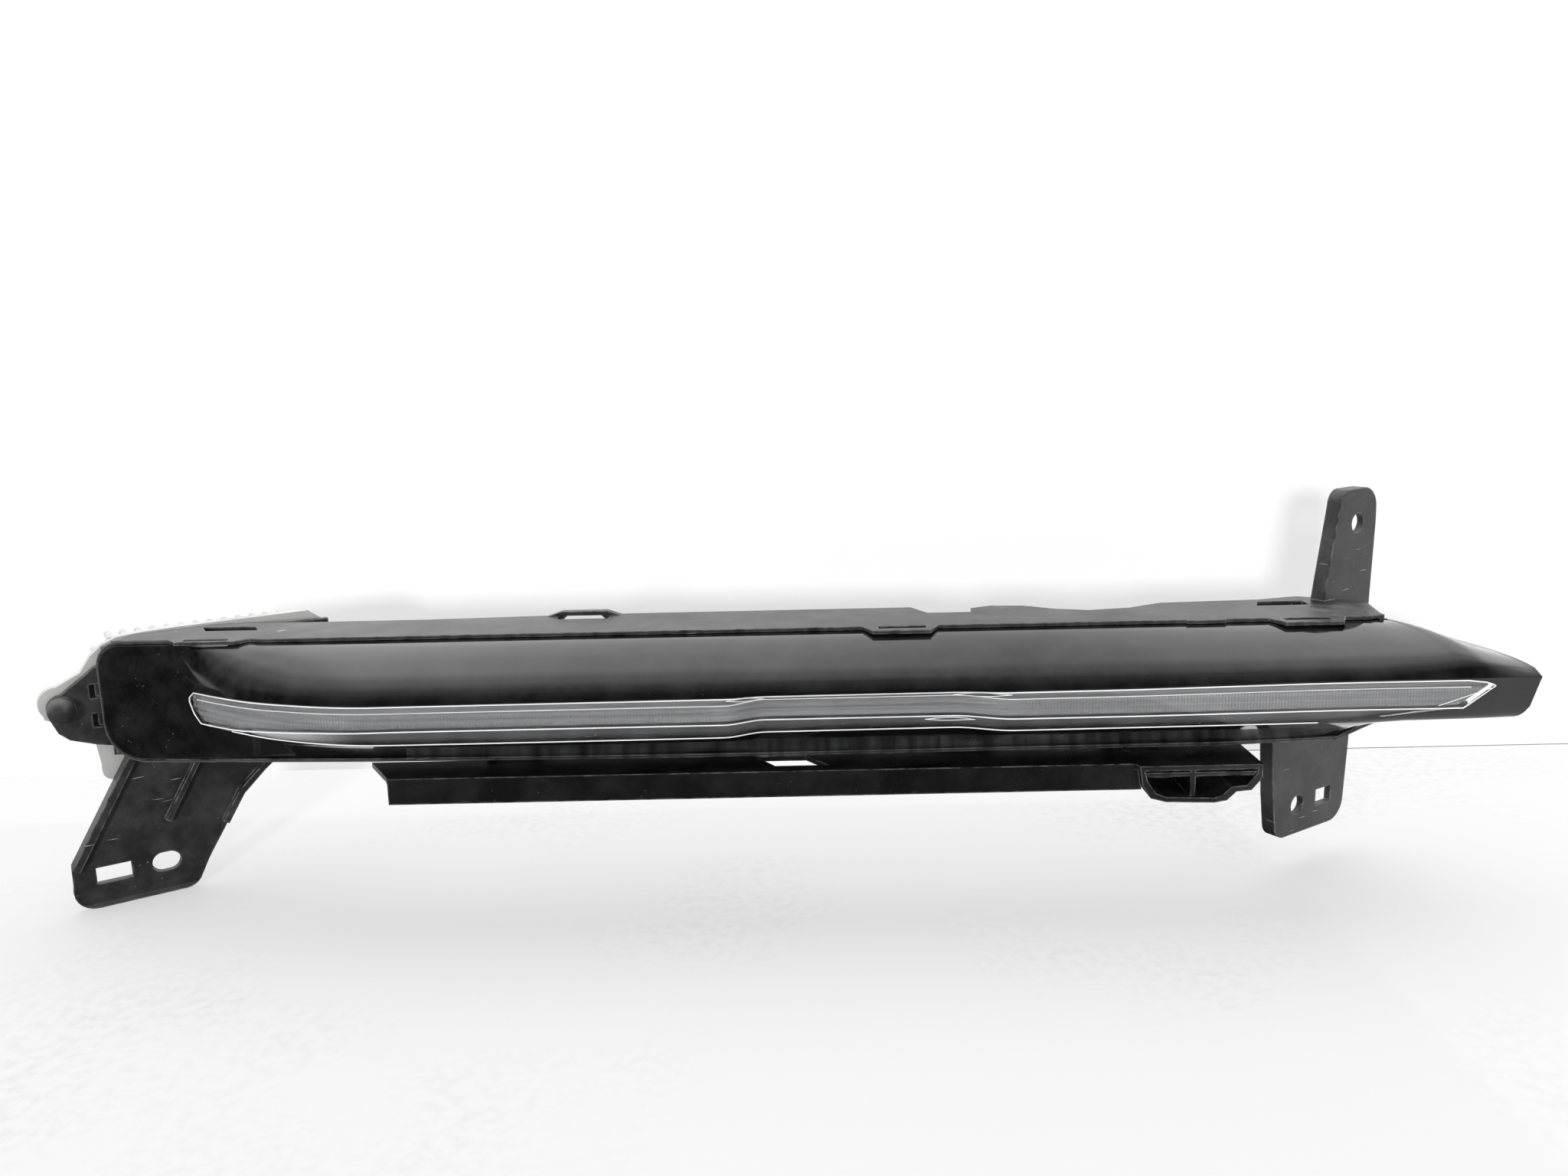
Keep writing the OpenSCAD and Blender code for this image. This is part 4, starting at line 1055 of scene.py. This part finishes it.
# %% Inside finishes
def plain_moulding(name, colour, roughness, grain, depth=0.00006, dust=0.2):
    made, tree, shader = start(name, colour, roughness)
    skin = use(tree, GRAIN, Scale=grain)
    film = use(tree, DUST, Amount=dust)["Mask"]
    paint = blend_colours(tree, skin["Patches"], [c * 0.82 for c in colour],
                          [min(1, c * 1.12) for c in colour])
    paint = blend_colours(tree, film, paint, (0.3, 0.29, 0.27))
    tree.links.new(paint, shader.inputs["Base Color"])
    rough = spread(tree, skin["Patches"], 0, 1, roughness - 0.05, roughness + 0.07)
    tree.links.new(rough, shader.inputs["Roughness"])
    bumped(tree, shader, skin["Height"], depth)
    return made


def board(name, mask_colour, track_colour):
    made, tree, shader = start(name, mask_colour, 0.32)
    where = add(tree, "TexCoord").outputs["Object"]
    level = add(tree, "Mapping", Vector=where, Rotation=(math.pi / 2, 0, 0))
    tracks = add(tree, "TexBrick", Vector=level.outputs[0], Scale=190.0,
                 Mortar_Size=0.028, Mortar_Smooth=0.2, Brick_Width=0.9, Row_Height=0.32)
    run = tracks.outputs["Fac"]
    tree.links.new(blend_colours(tree, run, mask_colour, track_colour),
                   shader.inputs["Base Color"])
    skin = use(tree, GRAIN, Scale=1500.0)
    tree.links.new(spread(tree, skin["Patches"], 0, 1, 0.25, 0.4), shader.inputs["Roughness"])
    bumped(tree, shader, run, 0.00006)
    return made


def seal_rubber():
    return plain_moulding("seal_rubber", (0.022, 0.022, 0.023), 0.78, 1400.0, 0.0001)


def carrier_dark():
    return plain_moulding("carrier_dark", (0.02, 0.02, 0.021), 0.4, 1600.0)


def facet_painted_shade_dark():
    """Black as painted shade, with dust specks, turning grey at the left end of the strip."""
    made, tree, shader = start("facet_painted_shade_dark", (0.012, 0.012, 0.0125), 0.35)
    where = add(tree, "TexCoord").outputs["Object"]
    place = add(tree, "SeparateXYZ", Vector=where)
    left = spread(tree, place.outputs["X"], placed((-165, 0, 0)).x,
                  placed((-135, 0, 0)).x, 1.0, 0.0, smooth=True)
    film = use(tree, DUST, Amount=0.5)["Mask"]
    paint = blend_colours(tree, left, (0.012, 0.012, 0.0125), (0.3, 0.3, 0.305))
    paint = blend_colours(tree, film, paint, (0.3, 0.3, 0.3))
    tree.links.new(paint, shader.inputs["Base Color"])
    skin = use(tree, GRAIN, Scale=1200.0)
    tree.links.new(spread(tree, skin["Patches"], 0, 1, 0.3, 0.45), shader.inputs["Roughness"])
    bumped(tree, shader, skin["Height"], 0.00005)
    return made


def soft_pad():
    return plain_moulding("soft_pad", (0.33, 0.4, 0.46), 0.7, 2200.0, 0.00015)


def led_phosphor():
    return plain_moulding("led_phosphor", (0.85, 0.6, 0.09), 0.4, 2600.0, dust=0.05)


def component_body():
    return plain_moulding("component_body", (0.035, 0.035, 0.038), 0.45, 2400.0)


def socket_moulding():
    return plain_moulding("socket_moulding", (0.16, 0.16, 0.165), 0.42, 1700.0)


def lead_jacket():
    return plain_moulding("lead_jacket", (0.018, 0.018, 0.019), 0.38, 2000.0)


def plug_nylon():
    return plain_moulding("plug_nylon", (0.78, 0.76, 0.7), 0.4, 1800.0)


def vent_felt():
    return plain_moulding("vent_felt", (0.72, 0.72, 0.7), 0.9, 5200.0, 0.0002)


# %% [markdown]
# ## Each piece gets its finish

# %% Dress the pieces
housing_plastic, rubber = housing_black(), seal_rubber()
steel, casting = plated_steel(), cast_aluminium()
finishes = {
    "housing": housing_plastic, "lower_rail": rail_black(),
    "hood_skin": gloss_black(), "strip_lens": clear_lens(),
    "guide_bar": guide_milky(), "guide_carrier": carrier_dark(),
    "facet_painted_shade": facet_painted_shade_dark(),
    "carrier_screws": steel, "seal_bead": rubber, "heatsink": casting,
    "heatsink_gasket": rubber, "heatsink_screws": steel,
    "thermal_pad": soft_pad(),
    "led_board": board("led_board_white", (0.78, 0.78, 0.76), (0.7, 0.6, 0.42)),
    "leds": led_phosphor(), "led_board_screws": steel,
    "driver_board": board("driver_board_green", (0.02, 0.13, 0.05), (0.05, 0.24, 0.09)),
    "driver_parts": component_body(), "driver_screws": steel,
    "connector": socket_moulding(), "connector_pins": tinned_pin(),
    "lamp_lead": lead_jacket(), "lead_plug": plug_nylon(),
    "vent_cap": cap_black(), "vent_membrane": vent_felt(),
}
# The beads are painted highlights and all get this white finish.
painted_highlight_white = bead_painted_highlight()
for piece in beads:
    finishes[piece.name] = painted_highlight_white
finishes["rim_line"], finishes["lens_line"] = rubbed_and_highlight_black(), finishes["hood_skin"]
finishes["panel_fold"] = finishes["hood_skin"]
finishes["lens_hood"], finishes["lens_strip"] = finishes["hood_skin"], finishes["strip_lens"]
finishes["light_guide"] = finishes["guide_bar"]
for name, finish in finishes.items():
    piece = bpy.data.objects[name]
    piece.data.materials.clear()
    piece.data.materials.append(finish)
print("finishes:", len(set(finishes.values())), "on", len(finishes), "pieces")
